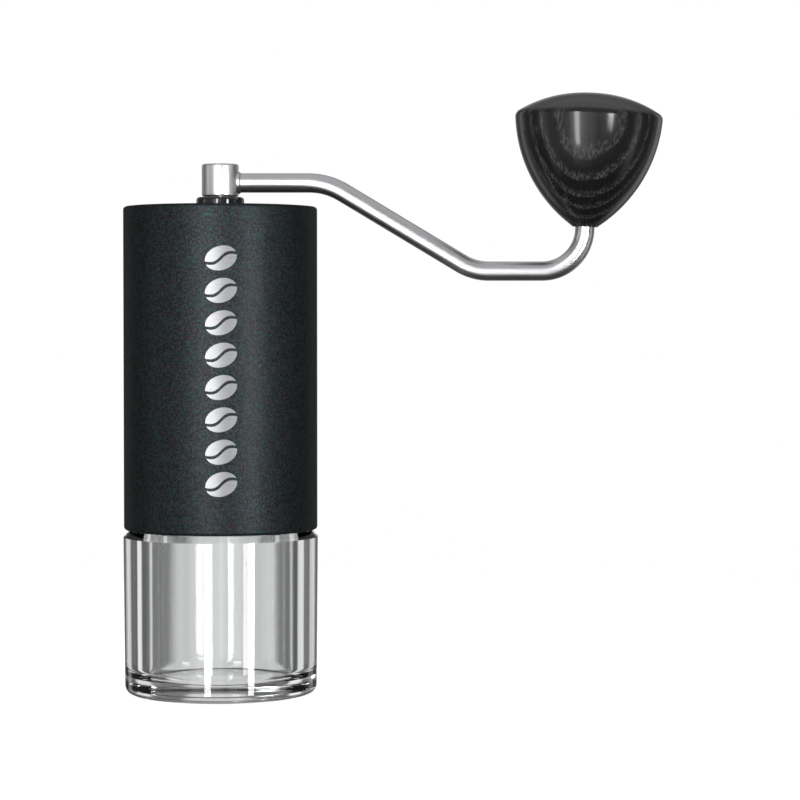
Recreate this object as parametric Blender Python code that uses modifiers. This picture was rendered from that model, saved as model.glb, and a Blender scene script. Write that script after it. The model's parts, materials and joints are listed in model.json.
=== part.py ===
"""A hand crank coffee grinder with a clear grounds jar, as separate pieces.

Metres, +Z up. The origin is the centre of the jar's flat bottom, and Z is the axle's axis. The crank arm
points along +X.
"""

import math

import bmesh
import bpy
from mathutils import Matrix, Vector

# ---------------------------------------------------------------- driving dimensions

SEAT_GAP = 0.0003  # between pieces that are seated, glued or pressed together
METAL_GAP = 0.0001  # between welded or snapped metal pieces
RUNNING_GAP = 0.0005  # round a piece that turns
OVERRUN = 0.0010  # how far a cutter runs past what it cuts, and a joined piece sinks in

TUBE_RADIUS = 0.0300
TUBE_WALL = 0.0018
TUBE_LENGTH = 0.1000
TUBE_EDGE_FILLET = 0.0011

JAR_PROUD = 0.0002  # how far the jar's shoulder stands out past the tube
JAR_HEIGHT = 0.0505  # the part of the jar that shows under the tube
JAR_NECK_WALL = 0.0030
JAR_FLOOR = 0.0050
JAR_FLOOR_FILLET = 0.0035
JAR_SHOULDER = 0.0019
JAR_FOOT_FILLET = 0.0026
JAR_DRAFT = 0.0004
NECK_CHAMFER = 0.0004
NECK_HEIGHT = 0.0105
GASKET_THICKNESS = 0.0012

THREAD_STARTS = 2
THREAD_LEAD = 0.0080
THREAD_RIDGE = 0.0008  # radius of the round thread ridge
THREAD_RING_WALL = 0.0012
THREAD_TURNS = 0.72
THREAD_RUN_IN = 0.0022  # from the jar's shoulder up to the start of its thread
THREAD_GAP = 0.0004  # between the crest of a ridge and the wall that it faces

BEARING_BORE = 0.0070
BEARING_OUTSIDE = 0.0190
BEARING_WIDTH = 0.0060
BALL_DIAMETER = 0.00397
BALL_GAP = 0.0002
BALLS_PER_BEARING = 6

AXLE_RADIUS = BEARING_BORE / 2
AXLE_SHOULDER_RADIUS = 0.0045
AXLE_THREAD_RADIUS = 0.0028
AXLE_HEX_FLATS = 0.0060
AXLE_HEX_LENGTH = 0.0085
AXLE_FLATS = 0.0056
AXLE_END = 0.0005  # below the dial
CIRCLIP_THICKNESS = 0.0008
CIRCLIP_RADIUS = 0.0052
WASHER_THICKNESS = 0.0007
WASHER_RADIUS = 0.0060
SPRING_WIRE = 0.00045
SPRING_COIL_RADIUS = 0.0049
SPRING_COILS = 4

RING_BURR_RADIUS = 0.0220
RETAINING_RING_RIM = 0.0020  # how far the retaining ring reaches past the ring burr
RING_BURR_HEIGHT = 0.0170
RING_BURR_RIM = 0.0028  # wall round the mouth
RING_BURR_CHOKE = 0.0040  # how much narrower the waist is than the mouth
BURR_GAP = 0.0006
INNER_BURR_TOP_RADIUS = 0.0075
BURR_TEETH = 12
RETAINING_RING_THICKNESS = 0.0024
RETAINING_RING_LIP = 0.0004  # how much wider its bore is than the burr's mouth
LUG_COUNT = 3
LUG_DEPTH = 0.0012
LUG_WIDTH = 0.0060
LUG_SETBACK = 0.0002  # of a lug from each face of the retaining ring

FRAME_WALL = 0.0016
BRIDGE_ARMS = 3
BRIDGE_ARM_WIDTH = 0.0042
BRIDGE_ARM_SETBACK = 0.0004  # of the arms from the hub's lower end
BRIDGE_ARM_DROP = 0.0008  # of the arms from the bridge's top and outside
HUB_WALL = 0.0022
HUB_LIP = 0.0012
HUB_LIP_CLEARANCE = 0.0010  # round the spring washer
FUNNEL_LEDGE = 0.0020
LOWER_HUB_RISE = 0.0068  # from the top of the burr's ledge to the lower hub's lip
HOPPER_LENGTH = 0.0140  # of the liner between the two bearing bridges

DIAL_RADIUS = 0.0105
DIAL_LOBE = 0.0010
DIAL_LOBES = 9
DIAL_HEIGHT = 0.0090
DIAL_NUT_RADIUS = 0.0048
CLICK_PLATE_THICKNESS = 0.0018
CLICK_PLATE_RADIUS = 0.0092
CLICKS_PER_TURN = 12
DETENT_BALL_RADIUS = 0.0010
DETENT_CIRCLE_RADIUS = 0.0071
DETENT_POCKET_DEPTH = 0.0052
DETENT_COUNT = 2
BURR_TRAVEL = 0.0015

LID_SEAT_DEPTH = 0.0078  # from the tube's top down to the ledge that the lid sits on
LID_RECESS = 0.0005
LID_RISE = 0.0008
LID_THICKNESS = 0.0020
LID_EDGE_CHAMFER = 0.0006
LID_HUB_RISE = 0.0020  # of the hub round the axle above the seat
LID_SKIRT_WALL = 0.0032
LID_COLLAR_RADIUS = 0.0074
LID_COLLAR_HEIGHT = 0.0030
LID_COLLAR_FILLET = 0.0010
SEAL_RADIUS = 0.0008
SEAL_ABOVE_SEAT = 0.0030

BOSS_RADIUS = 0.0057
BOSS_HEIGHT = 0.0099
BOSS_FILLET = 0.0007
BOSS_ROOF = 0.0015
BOSS_FOOT_CHAMFER = 0.0003

ROD_RADIUS = 0.0030
ARM_IN_BOSS = 0.0041  # from the boss's lower end up to the rod's centre line
ARM_DROP = 0.0273  # from the upper run's centre line down to the lower run's
ARM_LOWER_RUN = 0.0344  # from the corner of the lower bend to the pin
ARM_SLOPE_DEG = 31.0
UPPER_BEND = 0.0210
LOWER_BEND = 0.0168
PIN_BEND = 0.0133
CRANK_THROW = 0.1130  # from the axle to the pin, at the knob's lower end
PIN_LEAN_DEG = 2.0
PIN_RADIUS = 0.0021
PIN_START = 0.0030  # above the knob's lower end
PIN_TIP_CLEARANCE = 0.0010  # to the end of the knob's bore
PIN_TIP_TAPER = 0.0004

KNOB_HEIGHT = 0.0413
KNOB_RADIUS = 0.0228
KNOB_DOME_RISE = 0.0078
KNOB_EDGE_FILLET = 0.0022
KNOB_DOME_EDGE_DEG = 60.0  # where the edge's fillet meets the dome
KNOB_DOME_RADIUS = 0.0380
KNOB_SIDE_RADIUS = 0.0440
KNOB_END_WALL = 0.0004
KNOB_END_CHAMFER = 0.0003
KNOB_ABOVE_BEND = 0.0009
KNOB_BORE_DEPTH = 0.0275
BUSHING_WALL = 0.0009
SNAP_WIRE = 0.0003
SNAP_BELOW_BORE_END = 0.0045
SNAP_GROOVE_DEPTH = 0.0004
SNAP_GROOVE_WIDTH = 0.0010

# ---------------------------------------------------------------- where the pieces sit

JAR_RADIUS = TUBE_RADIUS + JAR_PROUD
TUBE_BORE = TUBE_RADIUS - TUBE_WALL
FRAME_RADIUS = TUBE_BORE - SEAT_GAP
FRAME_BORE = FRAME_RADIUS - FRAME_WALL

TUBE_BOTTOM = JAR_HEIGHT + SEAT_GAP
TUBE_TOP = TUBE_BOTTOM + TUBE_LENGTH
NECK_TOP = JAR_HEIGHT + NECK_HEIGHT
THREAD_BORE = FRAME_RADIUS - THREAD_RING_WALL
NECK_RADIUS = THREAD_BORE - THREAD_RIDGE - THREAD_GAP
JAR_BORE = NECK_RADIUS - JAR_NECK_WALL  # round the space for the grounds
GASKET_BOTTOM = NECK_TOP + METAL_GAP
THREAD_RING_TOP = GASKET_BOTTOM + GASKET_THICKNESS + SEAT_GAP

LOWER_BRIDGE_BOTTOM = THREAD_RING_TOP + SEAT_GAP
RETAINING_RING_BOTTOM = LOWER_BRIDGE_BOTTOM + SEAT_GAP
RING_BURR_BOTTOM = RETAINING_RING_BOTTOM + RETAINING_RING_THICKNESS + SEAT_GAP
RING_BURR_TOP = RING_BURR_BOTTOM + RING_BURR_HEIGHT
LEDGE_TOP = RING_BURR_TOP + SEAT_GAP + FUNNEL_LEDGE
LOWER_HUB_BOTTOM = LEDGE_TOP + LOWER_HUB_RISE
LOWER_BEARING_BOTTOM = LOWER_HUB_BOTTOM + HUB_LIP + METAL_GAP
LOWER_BRIDGE_TOP = LOWER_BEARING_BOTTOM + BEARING_WIDTH + SEAT_GAP
LINER_BOTTOM = LOWER_BRIDGE_TOP + SEAT_GAP
UPPER_BRIDGE_BOTTOM = LINER_BOTTOM + HOPPER_LENGTH + SEAT_GAP
UPPER_BEARING_BOTTOM = UPPER_BRIDGE_BOTTOM + HUB_LIP + METAL_GAP
LID_SEAT = TUBE_TOP - LID_SEAT_DEPTH

RING_BURR_MOUTH = RING_BURR_RADIUS - RING_BURR_RIM
RING_BURR_WAIST = RING_BURR_MOUTH - RING_BURR_CHOKE
RETAINING_RING_RADIUS = RING_BURR_RADIUS + RETAINING_RING_RIM
RETAINING_RING_BORE = RING_BURR_MOUTH + RETAINING_RING_LIP
BEARING_PITCH_RADIUS = (BEARING_BORE + BEARING_OUTSIDE) / 4
HUB_RADIUS = BEARING_OUTSIDE / 2 + METAL_GAP + HUB_WALL

INNER_BURR_BOTTOM = RING_BURR_BOTTOM
INNER_BURR_TOP = RING_BURR_TOP - SEAT_GAP
CLICK_PLATE_BOTTOM = INNER_BURR_BOTTOM - METAL_GAP - CLICK_PLATE_THICKNESS
DIAL_TOP = CLICK_PLATE_BOTTOM - SEAT_GAP
DIAL_BOTTOM = DIAL_TOP - DIAL_HEIGHT

LOWER_CIRCLIP_BOTTOM = LOWER_BEARING_BOTTOM - METAL_GAP - CIRCLIP_THICKNESS
WASHER_BOTTOM = LOWER_CIRCLIP_BOTTOM - METAL_GAP - WASHER_THICKNESS

LID_TOP = TUBE_TOP - LID_RECESS
SEAL_HEIGHT = LID_SEAT + SEAL_ABOVE_SEAT
SEAL_CENTRE_RADIUS = TUBE_BORE - SEAT_GAP - SEAL_RADIUS
COLLAR_TOP = TUBE_TOP + LID_COLLAR_HEIGHT
BOSS_BOTTOM = COLLAR_TOP + SEAT_GAP
BOSS_TOP = BOSS_BOTTOM + BOSS_HEIGHT
AXLE_TOP = BOSS_TOP - BOSS_ROOF - SEAT_GAP
AXLE_BOTTOM = DIAL_BOTTOM - AXLE_END

ARM_SLOPE = math.radians(ARM_SLOPE_DEG)
ARM_UPPER_RUN = CRANK_THROW - ARM_LOWER_RUN - ARM_DROP / math.tan(ARM_SLOPE)
ARM_UPPER = BOSS_BOTTOM + ARM_IN_BOSS  # height of the upper run's centre line
ARM_LOWER = ARM_UPPER - ARM_DROP
PIN_LEAN = math.radians(PIN_LEAN_DEG)
KNOB_AXIS = Vector((math.sin(PIN_LEAN), 0, math.cos(PIN_LEAN)))
PIN_BEND_CENTRE = Vector((CRANK_THROW - PIN_BEND, 0, ARM_LOWER + PIN_BEND))
PIN_BEND_END = PIN_BEND_CENTRE + PIN_BEND * Vector((math.cos(PIN_LEAN), 0, -math.sin(PIN_LEAN)))
KNOB_BASE = PIN_BEND_END + KNOB_AXIS * KNOB_ABOVE_BEND
PIN_END = KNOB_BORE_DEPTH - PIN_TIP_CLEARANCE
KNOB_EDGE_HEIGHT = KNOB_HEIGHT - KNOB_DOME_RISE
KNOB_MOUTH = ROD_RADIUS + RUNNING_GAP  # the knob's bore round the rod
KNOB_END_RADIUS = KNOB_MOUTH + KNOB_END_WALL
SNAP_GROOVE = KNOB_BORE_DEPTH - SNAP_BELOW_BORE_END
BUSHING_BORE = PIN_RADIUS + 2 * METAL_GAP

LARGE_ROUND = 36  # sides of a large turned piece
SMALL_ROUND = 18

# ---------------------------------------------------------------- scene, finishes and shapes

for leftover in list(bpy.data.objects):
    bpy.data.objects.remove(leftover, do_unlink=True)
PARTS = bpy.data.collections.new("hand_crank_coffee_grinder")
CUTTERS = bpy.data.collections.new("cutters")
bpy.context.scene.collection.children.link(PARTS)
bpy.context.scene.collection.children.link(CUTTERS)


def finish(name, colour, roughness, metallic=0.0, transmission=0.0):
    made = bpy.data.materials.new(name)
    made.use_nodes = True
    shader = made.node_tree.nodes["Principled BSDF"]
    shader.inputs["Base Color"].default_value = (*colour, 1.0)
    shader.inputs["Roughness"].default_value = roughness
    shader.inputs["Metallic"].default_value = metallic
    shader.inputs["Transmission Weight"].default_value = transmission
    return made


COATING = finish("black_green_coating", (0.022, 0.028, 0.030), 0.45, 0.5)
CLEAR = finish("clear_polymer", (0.90, 0.93, 0.95), 0.05, transmission=1.0)
BRUSHED = finish("brushed_steel", (0.66, 0.66, 0.67), 0.30, 1.0)
BURR_STEEL = finish("burr_steel", (0.50, 0.50, 0.51), 0.25, 1.0)
BLACK_PLASTIC = finish("black_frame_plastic", (0.020, 0.020, 0.021), 0.45)
GLOSS_PLASTIC = finish("glossy_black_lid", (0.012, 0.012, 0.013), 0.12)
STAINED_WOOD = finish("black_stained_oak", (0.018, 0.017, 0.018), 0.22)
SILICONE = finish("grey_silicone", (0.30, 0.31, 0.32), 0.60)
BRASS = finish("brass", (0.72, 0.52, 0.22), 0.30, 1.0)
SPRING_STEEL = finish("spring_steel", (0.55, 0.55, 0.56), 0.28, 1.0)


def placed(obj, material=None, collection=PARTS):
    """Puts a new object in its collection, with its material."""
    for holder in list(obj.users_collection):
        holder.objects.unlink(obj)
    collection.objects.link(obj)
    if material:
        obj.data.materials.append(material)
    return obj


def arc(centre_x, centre_z, radius, start_deg, end_deg, steps):
    """Points on an arc in the XZ plane, both ends included."""
    span = math.radians(end_deg - start_deg)
    angles = [math.radians(start_deg) + span * i / steps for i in range(steps + 1)]
    return [(centre_x + radius * math.cos(a), centre_z + radius * math.sin(a)) for a in angles]


def turned(name, profile, material=None, sides=LARGE_ROUND, solid=False, collection=PARTS):
    """A turned piece. The profile runs down the outside and up the inside; a solid one ends on the axis."""
    mesh = bpy.data.meshes.new(name)
    count = len(profile)
    edges = [(i, i + 1) for i in range(count - 1)] + ([] if solid else [(count - 1, 0)])
    mesh.from_pydata([(x, 0, z) for x, z in profile], edges, [])
    obj = placed(bpy.data.objects.new(name, mesh), material, collection)
    screw = obj.modifiers.new("turn", "SCREW")
    screw.steps = screw.render_steps = sides
    screw.use_merge_vertices = True
    screw.merge_threshold = 0.00001
    screw.use_smooth_shade = True
    return obj


def ring(name, inner, outer, bottom, top, material=None, sides=LARGE_ROUND, collection=PARTS):
    profile = [(outer, top), (outer, bottom), (inner, bottom), (inner, top)]
    return turned(name, profile, material, sides, collection=collection)


def prism(name, sides, radius, bottom, top, turn_deg=0.0, material=None, collection=PARTS):
    """A cylinder or a regular prism about Z."""
    mesh = bpy.data.meshes.new(name)
    body = bmesh.new()
    middle = Matrix.Translation((0, 0, (bottom + top) / 2)) @ Matrix.Rotation(math.radians(turn_deg), 4, "Z")
    bmesh.ops.create_cone(
        body, cap_ends=True, segments=sides, radius1=radius, radius2=radius, depth=top - bottom, matrix=middle
    )
    body.to_mesh(mesh)
    body.free()
    return placed(bpy.data.objects.new(name, mesh), material, collection)


def block(name, size, centre, turn_deg=0.0, collection=CUTTERS):
    """A box of that size, its centre turned about Z by turn_deg."""
    mesh = bpy.data.meshes.new(name)
    body = bmesh.new()
    turn = Matrix.Rotation(math.radians(turn_deg), 4, "Z")
    shape = Matrix.Translation(centre) @ Matrix.Diagonal((*size, 1))
    bmesh.ops.create_cube(body, size=1.0, matrix=turn @ shape)
    body.to_mesh(mesh)
    body.free()
    return placed(bpy.data.objects.new(name, mesh), collection=collection)


def wire(name, points, radius, sides_level, material=None, shares=None, closed=False):
    """A round rod or wire through these points. shares scales the radius at each point."""
    curve = bpy.data.curves.new(name, "CURVE")
    curve.dimensions = "3D"
    curve.bevel_depth = radius
    curve.bevel_resolution = sides_level
    curve.use_fill_caps = True
    spline = curve.splines.new("POLY")
    spline.points.add(len(points) - 1)
    for i, (point, place) in enumerate(zip(spline.points, points)):
        point.co = (*place, 1)
        point.radius = shares[i] if shares else 1.0
    spline.use_cyclic_u = closed
    return placed(bpy.data.objects.new(name, curve), material)


def meshed(obj, collection=PARTS):
    """A curve object remade as a mesh object, its caps welded, so that a Boolean can use it."""
    graph = bpy.context.evaluated_depsgraph_get()
    mesh = bpy.data.meshes.new_from_object(obj.evaluated_get(graph))
    body = bmesh.new()
    body.from_mesh(mesh)
    bmesh.ops.remove_doubles(body, verts=body.verts, dist=0.000001)
    bmesh.ops.recalc_face_normals(body, faces=body.faces)
    body.to_mesh(mesh)
    body.free()
    name, matrix = obj.name, obj.matrix_world.copy()
    bpy.data.objects.remove(obj)
    mesh.name = name
    made = placed(bpy.data.objects.new(name, mesh), collection=collection)
    made.matrix_world = matrix
    return made


def helper(obj):
    """Marks an object as a cutter or a guide, and moves it to the cutters' collection."""
    placed(obj, collection=CUTTERS)
    obj.hide_render = True
    obj.display_type = "WIRE"
    return obj


def combine(target, operation, *tools):
    """Cuts each tool from the target, or joins it on."""
    for tool in tools:
        step = target.modifiers.new(operation.lower() + "_" + tool.name, "BOOLEAN")
        step.operation = operation
        step.object = helper(tool)
        step.solver = "EXACT"
    return target


def around(count, first_deg=0.0):
    """Equally spaced angles in degrees."""
    return [first_deg + 360 * i / count for i in range(count)]


def polar(radius, angle_deg, z):
    angle = math.radians(angle_deg)
    return (radius * math.cos(angle), radius * math.sin(angle), z)


def helix(radius, bottom, lead, turns, steps_per_turn, first_deg=0.0):
    count = max(2, round(turns * steps_per_turn))
    return [
        polar(radius, first_deg + 360 * turns * i / count, bottom + lead * turns * i / count)
        for i in range(count + 1)
    ]


def tapering(count, ends=2):
    """Radius shares that fade a thread ridge in and out over its first and last points."""
    return [min(1.0, 0.45 + 0.55 * i / ends, 0.45 + 0.55 * (count - 1 - i) / ends) for i in range(count)]


def lofted(name, rings, material, closed_ring):
    """A skin through rings of equal point counts, closed end to end or capped at both ends."""
    mesh = bpy.data.meshes.new(name)
    body = bmesh.new()
    loops = [[body.verts.new(point) for point in points] for points in rings]
    pairs = list(zip(loops, loops[1:])) + ([(loops[-1], loops[0])] if closed_ring else [])
    for low, high in pairs:
        for i in range(len(low)):
            j = (i + 1) % len(low)
            body.faces.new((low[i], low[j], high[j], high[i]))
    if not closed_ring:
        body.faces.new(loops[0][::-1])
        body.faces.new(loops[-1])
    bmesh.ops.recalc_face_normals(body, faces=body.faces)
    body.to_mesh(mesh)
    body.free()
    return placed(bpy.data.objects.new(name, mesh), material)


# ---------------------------------------------------------------- jar and thread


def thread_ridges(owner, radius, bottom, first_deg):
    """Round right-hand ridges, one for each start, joined to the owner."""
    for start, angle in enumerate(around(THREAD_STARTS, first_deg)):
        points = helix(radius, bottom, THREAD_LEAD, THREAD_TURNS, LARGE_ROUND, angle)
        ridge = wire(f"{owner.name}_ridge_{start}", points, THREAD_RIDGE, 1, shares=tapering(len(points)))
        combine(owner, "UNION", meshed(ridge))


def jar():
    foot = JAR_RADIUS - JAR_DRAFT
    fillet = JAR_FOOT_FILLET
    profile = [(NECK_RADIUS - NECK_CHAMFER, NECK_TOP), (NECK_RADIUS, NECK_TOP - NECK_CHAMFER)]
    profile += [(NECK_RADIUS, JAR_HEIGHT), (JAR_RADIUS - JAR_SHOULDER, JAR_HEIGHT)]
    profile += [(JAR_RADIUS, JAR_HEIGHT - JAR_SHOULDER)]
    profile += arc(foot - fillet, fillet, fillet, 0, -90, 2)
    profile += [(0, 0), (0, JAR_FLOOR)]
    inner_corner = JAR_FLOOR_FILLET
    profile += arc(JAR_BORE - inner_corner, JAR_FLOOR + inner_corner, inner_corner, -90, 0, 3)
    profile += [(JAR_BORE, NECK_TOP)]
    made = turned("jar", profile, CLEAR)
    thread_ridges(made, NECK_RADIUS, JAR_HEIGHT + THREAD_RUN_IN, 0)
    return made


def jar_gasket():
    top = GASKET_BOTTOM + GASKET_THICKNESS
    return ring("jar_gasket", JAR_BORE + SEAT_GAP, NECK_RADIUS, GASKET_BOTTOM, top, SILICONE)


def thread_ring():
    bottom = TUBE_BOTTOM + SEAT_GAP
    made = ring("thread_ring", THREAD_BORE, FRAME_RADIUS, bottom, THREAD_RING_TOP, BLACK_PLASTIC)
    half_pitch = THREAD_LEAD / THREAD_STARTS / 2
    first_deg = -45
    low = JAR_HEIGHT + THREAD_RUN_IN + half_pitch + THREAD_LEAD * first_deg / 360
    thread_ridges(made, THREAD_BORE, low, first_deg)
    return made


# ---------------------------------------------------------------- tube and frame


def body_tube():
    edge = TUBE_EDGE_FILLET
    profile = arc(TUBE_RADIUS - edge, TUBE_TOP - edge, edge, 90, 0, 2)
    profile += arc(TUBE_RADIUS - edge, TUBE_BOTTOM + edge, edge, 0, -90, 2)
    profile += [(TUBE_BORE, TUBE_BOTTOM), (TUBE_BORE, TUBE_TOP)]
    return turned("body_tube", profile, COATING)


def bridge_arms(owner, bottom, top, reach):
    """The three arms that carry a bearing hub, joined to the owner."""
    length = reach - HUB_RADIUS + OVERRUN
    middle = (reach + HUB_RADIUS - OVERRUN) / 2
    for i, angle in enumerate(around(BRIDGE_ARMS, 60)):
        size = (length, BRIDGE_ARM_WIDTH, top - bottom)
        arm = block(f"{owner.name}_arm_{i}", size, (middle, 0, (bottom + top) / 2), angle)
        combine(owner, "UNION", arm)


def bearing_hub(owner, bottom):
    """A round hub with a seat that is open at the top and a lip under the bearing."""
    seat = BEARING_OUTSIDE / 2 + METAL_GAP
    top = bottom + HUB_LIP + METAL_GAP + BEARING_WIDTH + SEAT_GAP
    lip_bore = WASHER_RADIUS + HUB_LIP_CLEARANCE
    profile = [(HUB_RADIUS, top), (HUB_RADIUS, bottom), (lip_bore, bottom)]
    profile += [(lip_bore, bottom + HUB_LIP), (seat, bottom + HUB_LIP), (seat, top)]
    hub = turned(owner.name + "_hub", profile, sides=SMALL_ROUND, collection=CUTTERS)
    combine(owner, "UNION", hub)


def lower_bridge():
    """The cup for the ring burr, the funnel above it and the lower bearing's three-armed hub."""
    seat = RING_BURR_RADIUS + SEAT_GAP
    skirt = RETAINING_RING_RADIUS + SEAT_GAP
    profile = [(FRAME_RADIUS, LOWER_BRIDGE_TOP), (FRAME_RADIUS, LOWER_BRIDGE_BOTTOM)]
    profile += [(skirt, LOWER_BRIDGE_BOTTOM), (skirt, RING_BURR_BOTTOM), (seat, RING_BURR_BOTTOM)]
    profile += [(seat, LEDGE_TOP - FUNNEL_LEDGE), (RING_BURR_MOUTH, LEDGE_TOP - FUNNEL_LEDGE)]
    profile += [(RING_BURR_MOUTH, LEDGE_TOP), (FRAME_BORE, LOWER_BRIDGE_TOP)]
    made = turned("lower_bridge", profile, BLACK_PLASTIC)
    bearing_hub(made, LOWER_HUB_BOTTOM)
    arms_bottom, arms_top = LOWER_HUB_BOTTOM + BRIDGE_ARM_SETBACK, LOWER_BRIDGE_TOP - BRIDGE_ARM_DROP
    bridge_arms(made, arms_bottom, arms_top, FRAME_RADIUS - BRIDGE_ARM_DROP)
    pocket_height = RING_BURR_BOTTOM - LOWER_BRIDGE_BOTTOM + OVERRUN
    pocket = (LUG_DEPTH + 2 * SEAT_GAP, LUG_WIDTH + 2 * SEAT_GAP, pocket_height)
    for i, angle in enumerate(around(LUG_COUNT)):
        centre = (skirt + pocket[0] / 2 - SEAT_GAP, 0, RING_BURR_BOTTOM - pocket_height / 2)
        combine(made, "DIFFERENCE", block(f"lug_pocket_{i}", pocket, centre, angle))
    return made


def hopper_liner():
    top = LINER_BOTTOM + HOPPER_LENGTH
    return ring("hopper_liner", FRAME_BORE, FRAME_RADIUS, LINER_BOTTOM, top, BLACK_PLASTIC)


def upper_bridge():
    """The upper bearing's hub and arms, in a wall that also carries the lid."""
    made = ring("upper_bridge", FRAME_BORE, FRAME_RADIUS, UPPER_BRIDGE_BOTTOM, LID_SEAT, BLACK_PLASTIC)
    bearing_hub(made, UPPER_BRIDGE_BOTTOM)
    arms_bottom, arms_top = UPPER_BRIDGE_BOTTOM + BRIDGE_ARM_SETBACK, UPPER_BRIDGE_BOTTOM + BEARING_WIDTH
    bridge_arms(made, arms_bottom, arms_top, FRAME_RADIUS - BRIDGE_ARM_DROP)
    return made


# ---------------------------------------------------------------- burrs


def toothed(radius, depth, z, turn_deg, teeth, outward):
    """One ring of saw teeth: each tooth is a steep cutting face and a long flank."""
    shares = (0.0, 0.12, 0.5, 0.88)
    heights = (0.0, 1.0, 0.6, 0.15)
    points = []
    for tooth in range(teeth):
        for share, height in zip(shares, heights):
            reach = radius + (height - 1) * depth if outward else radius + (1 - height) * depth
            points.append(polar(reach, turn_deg + 360 * (tooth + share) / teeth, z))
    return points


def ring_burr():
    """Teeth inside a plain ring: a wide mouth at the top, a waist, and the fine zone below it."""
    count = 4 * BURR_TEETH
    ends = (RING_BURR_BOTTOM, RING_BURR_TOP)
    outside = [[polar(RING_BURR_RADIUS, angle, z) for angle in around(count)] for z in ends]
    levels = [  # share of the height from the top, radius, tooth depth, twist
        (0.00, RING_BURR_MOUTH - 0.0006, 0.0004, 0),
        (0.30, (RING_BURR_MOUTH + RING_BURR_WAIST) / 2, 0.0012, -8),
        (0.55, RING_BURR_WAIST, 0.0012, -15),
        (0.80, (3 * RING_BURR_MOUTH + RING_BURR_WAIST) / 4 - 0.0010, 0.0008, -20),
        (1.00, RING_BURR_MOUTH, 0.0005, -24),
    ]
    inside = [
        toothed(radius, depth, RING_BURR_TOP - share * RING_BURR_HEIGHT, twist, BURR_TEETH, False)
        for share, radius, depth, twist in levels
    ]
    return lofted("ring_burr", outside + inside, BURR_STEEL, True)


def double_d(name, radius, flats, bottom, top):
    """A round cutter with two flats, for a bore that can't turn on the axle."""
    corner = math.degrees(math.asin(flats / 2 / radius))
    sides = [corner * i / 4 for i in range(-4, 5)]
    angles = sides + [180 + a for a in sides]
    rings = [[polar(radius, angle, z) for angle in angles] for z in (bottom, top)]
    return helper(lofted(name, rings, None, False))


def inner_burr():
    """The cone: coarse helical teeth at the top that grow finer and wider towards the bottom."""
    height = INNER_BURR_TOP - INNER_BURR_BOTTOM
    levels = [  # share of the height from the bottom, radius, tooth depth, twist
        (0.00, RING_BURR_MOUTH - BURR_GAP, 0.0005, 0),
        (0.12, RING_BURR_MOUTH - BURR_GAP - 0.0010, 0.0006, 5),
        (0.42, RING_BURR_WAIST - BURR_GAP, 0.0012, 20),
        (0.72, (RING_BURR_WAIST + INNER_BURR_TOP_RADIUS) / 2 + 0.0002, 0.0018, 38),
        (1.00, INNER_BURR_TOP_RADIUS, 0.0012, 58),
    ]
    rings = [
        toothed(radius, depth, INNER_BURR_BOTTOM + share * height, twist, BURR_TEETH, True)
        for share, radius, depth, twist in levels
    ]
    made = lofted("inner_burr", rings, BURR_STEEL, False)
    bore = double_d(
        "inner_burr_bore", AXLE_RADIUS + METAL_GAP, AXLE_FLATS + 2 * METAL_GAP,
        INNER_BURR_BOTTOM - OVERRUN, INNER_BURR_TOP + OVERRUN,
    )
    return combine(made, "DIFFERENCE", bore)


def burr_retaining_ring():
    top = RETAINING_RING_BOTTOM + RETAINING_RING_THICKNESS
    made = ring(
        "burr_retaining_ring", RETAINING_RING_BORE, RETAINING_RING_RADIUS, RETAINING_RING_BOTTOM, top,
        BLACK_PLASTIC,
    )
    size = (LUG_DEPTH + OVERRUN, LUG_WIDTH, RETAINING_RING_THICKNESS - 2 * LUG_SETBACK)
    for i, angle in enumerate(around(LUG_COUNT)):
        centre = (RETAINING_RING_RADIUS + (LUG_DEPTH - OVERRUN) / 2, 0, (RETAINING_RING_BOTTOM + top) / 2)
        combine(made, "UNION", block(f"retaining_lug_{i}", size, centre, angle))
    return made


# ---------------------------------------------------------------- bearings


def bearing(prefix, bottom):
    """Inner and outer race, a cage with its balls, and a seal on each side."""
    top = bottom + BEARING_WIDTH
    middle = (bottom + top) / 2
    ball = BALL_DIAMETER / 2
    groove = ball + BALL_GAP
    inner, outer = BEARING_BORE / 2 + METAL_GAP, BEARING_OUTSIDE / 2
    land = 0.55 * ball  # from the pitch circle to the edge of each race's groove
    inner_land, outer_land = BEARING_PITCH_RADIUS - land, BEARING_PITCH_RADIUS + land
    half_angle = math.degrees(math.acos(land / groove))
    inner_groove = arc(BEARING_PITCH_RADIUS, middle, groove, 180 - half_angle, 180 + half_angle, 4)
    outer_groove = arc(BEARING_PITCH_RADIUS, middle, groove, -half_angle, half_angle, 4)
    turned(
        prefix + "_inner_race",
        [(inner_land, top), *inner_groove, (inner_land, bottom), (inner, bottom), (inner, top)],
        BRUSHED,
        SMALL_ROUND,
    )
    turned(
        prefix + "_outer_race",
        [(outer, top), (outer, bottom), (outer_land, bottom), *outer_groove, (outer_land, top)],
        BRUSHED,
        SMALL_ROUND,
    )
    half = 0.0005
    cage = ring(
        prefix + "_ball_cage", BEARING_PITCH_RADIUS - half, BEARING_PITCH_RADIUS + half,
        middle - half, middle + half, SPRING_STEEL, SMALL_ROUND,
    )
    for i, angle in enumerate(around(BALLS_PER_BEARING)):
        mesh = bpy.data.meshes.new(f"{prefix}_ball_{i}")
        body = bmesh.new()
        place = Matrix.Translation(polar(BEARING_PITCH_RADIUS, angle, middle))
        bmesh.ops.create_icosphere(body, subdivisions=2, radius=ball, matrix=place)
        body.to_mesh(mesh)
        body.free()
        combine(cage, "UNION", bpy.data.objects.new(mesh.name, mesh))
    thin = 0.0003
    for side, low in (("lower", bottom + thin), ("upper", top - 2 * thin)):
        ring(
            f"{prefix}_{side}_seal", inner_land + SEAT_GAP, outer_land - METAL_GAP, low, low + thin,
            SILICONE, SMALL_ROUND,
        )


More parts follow.
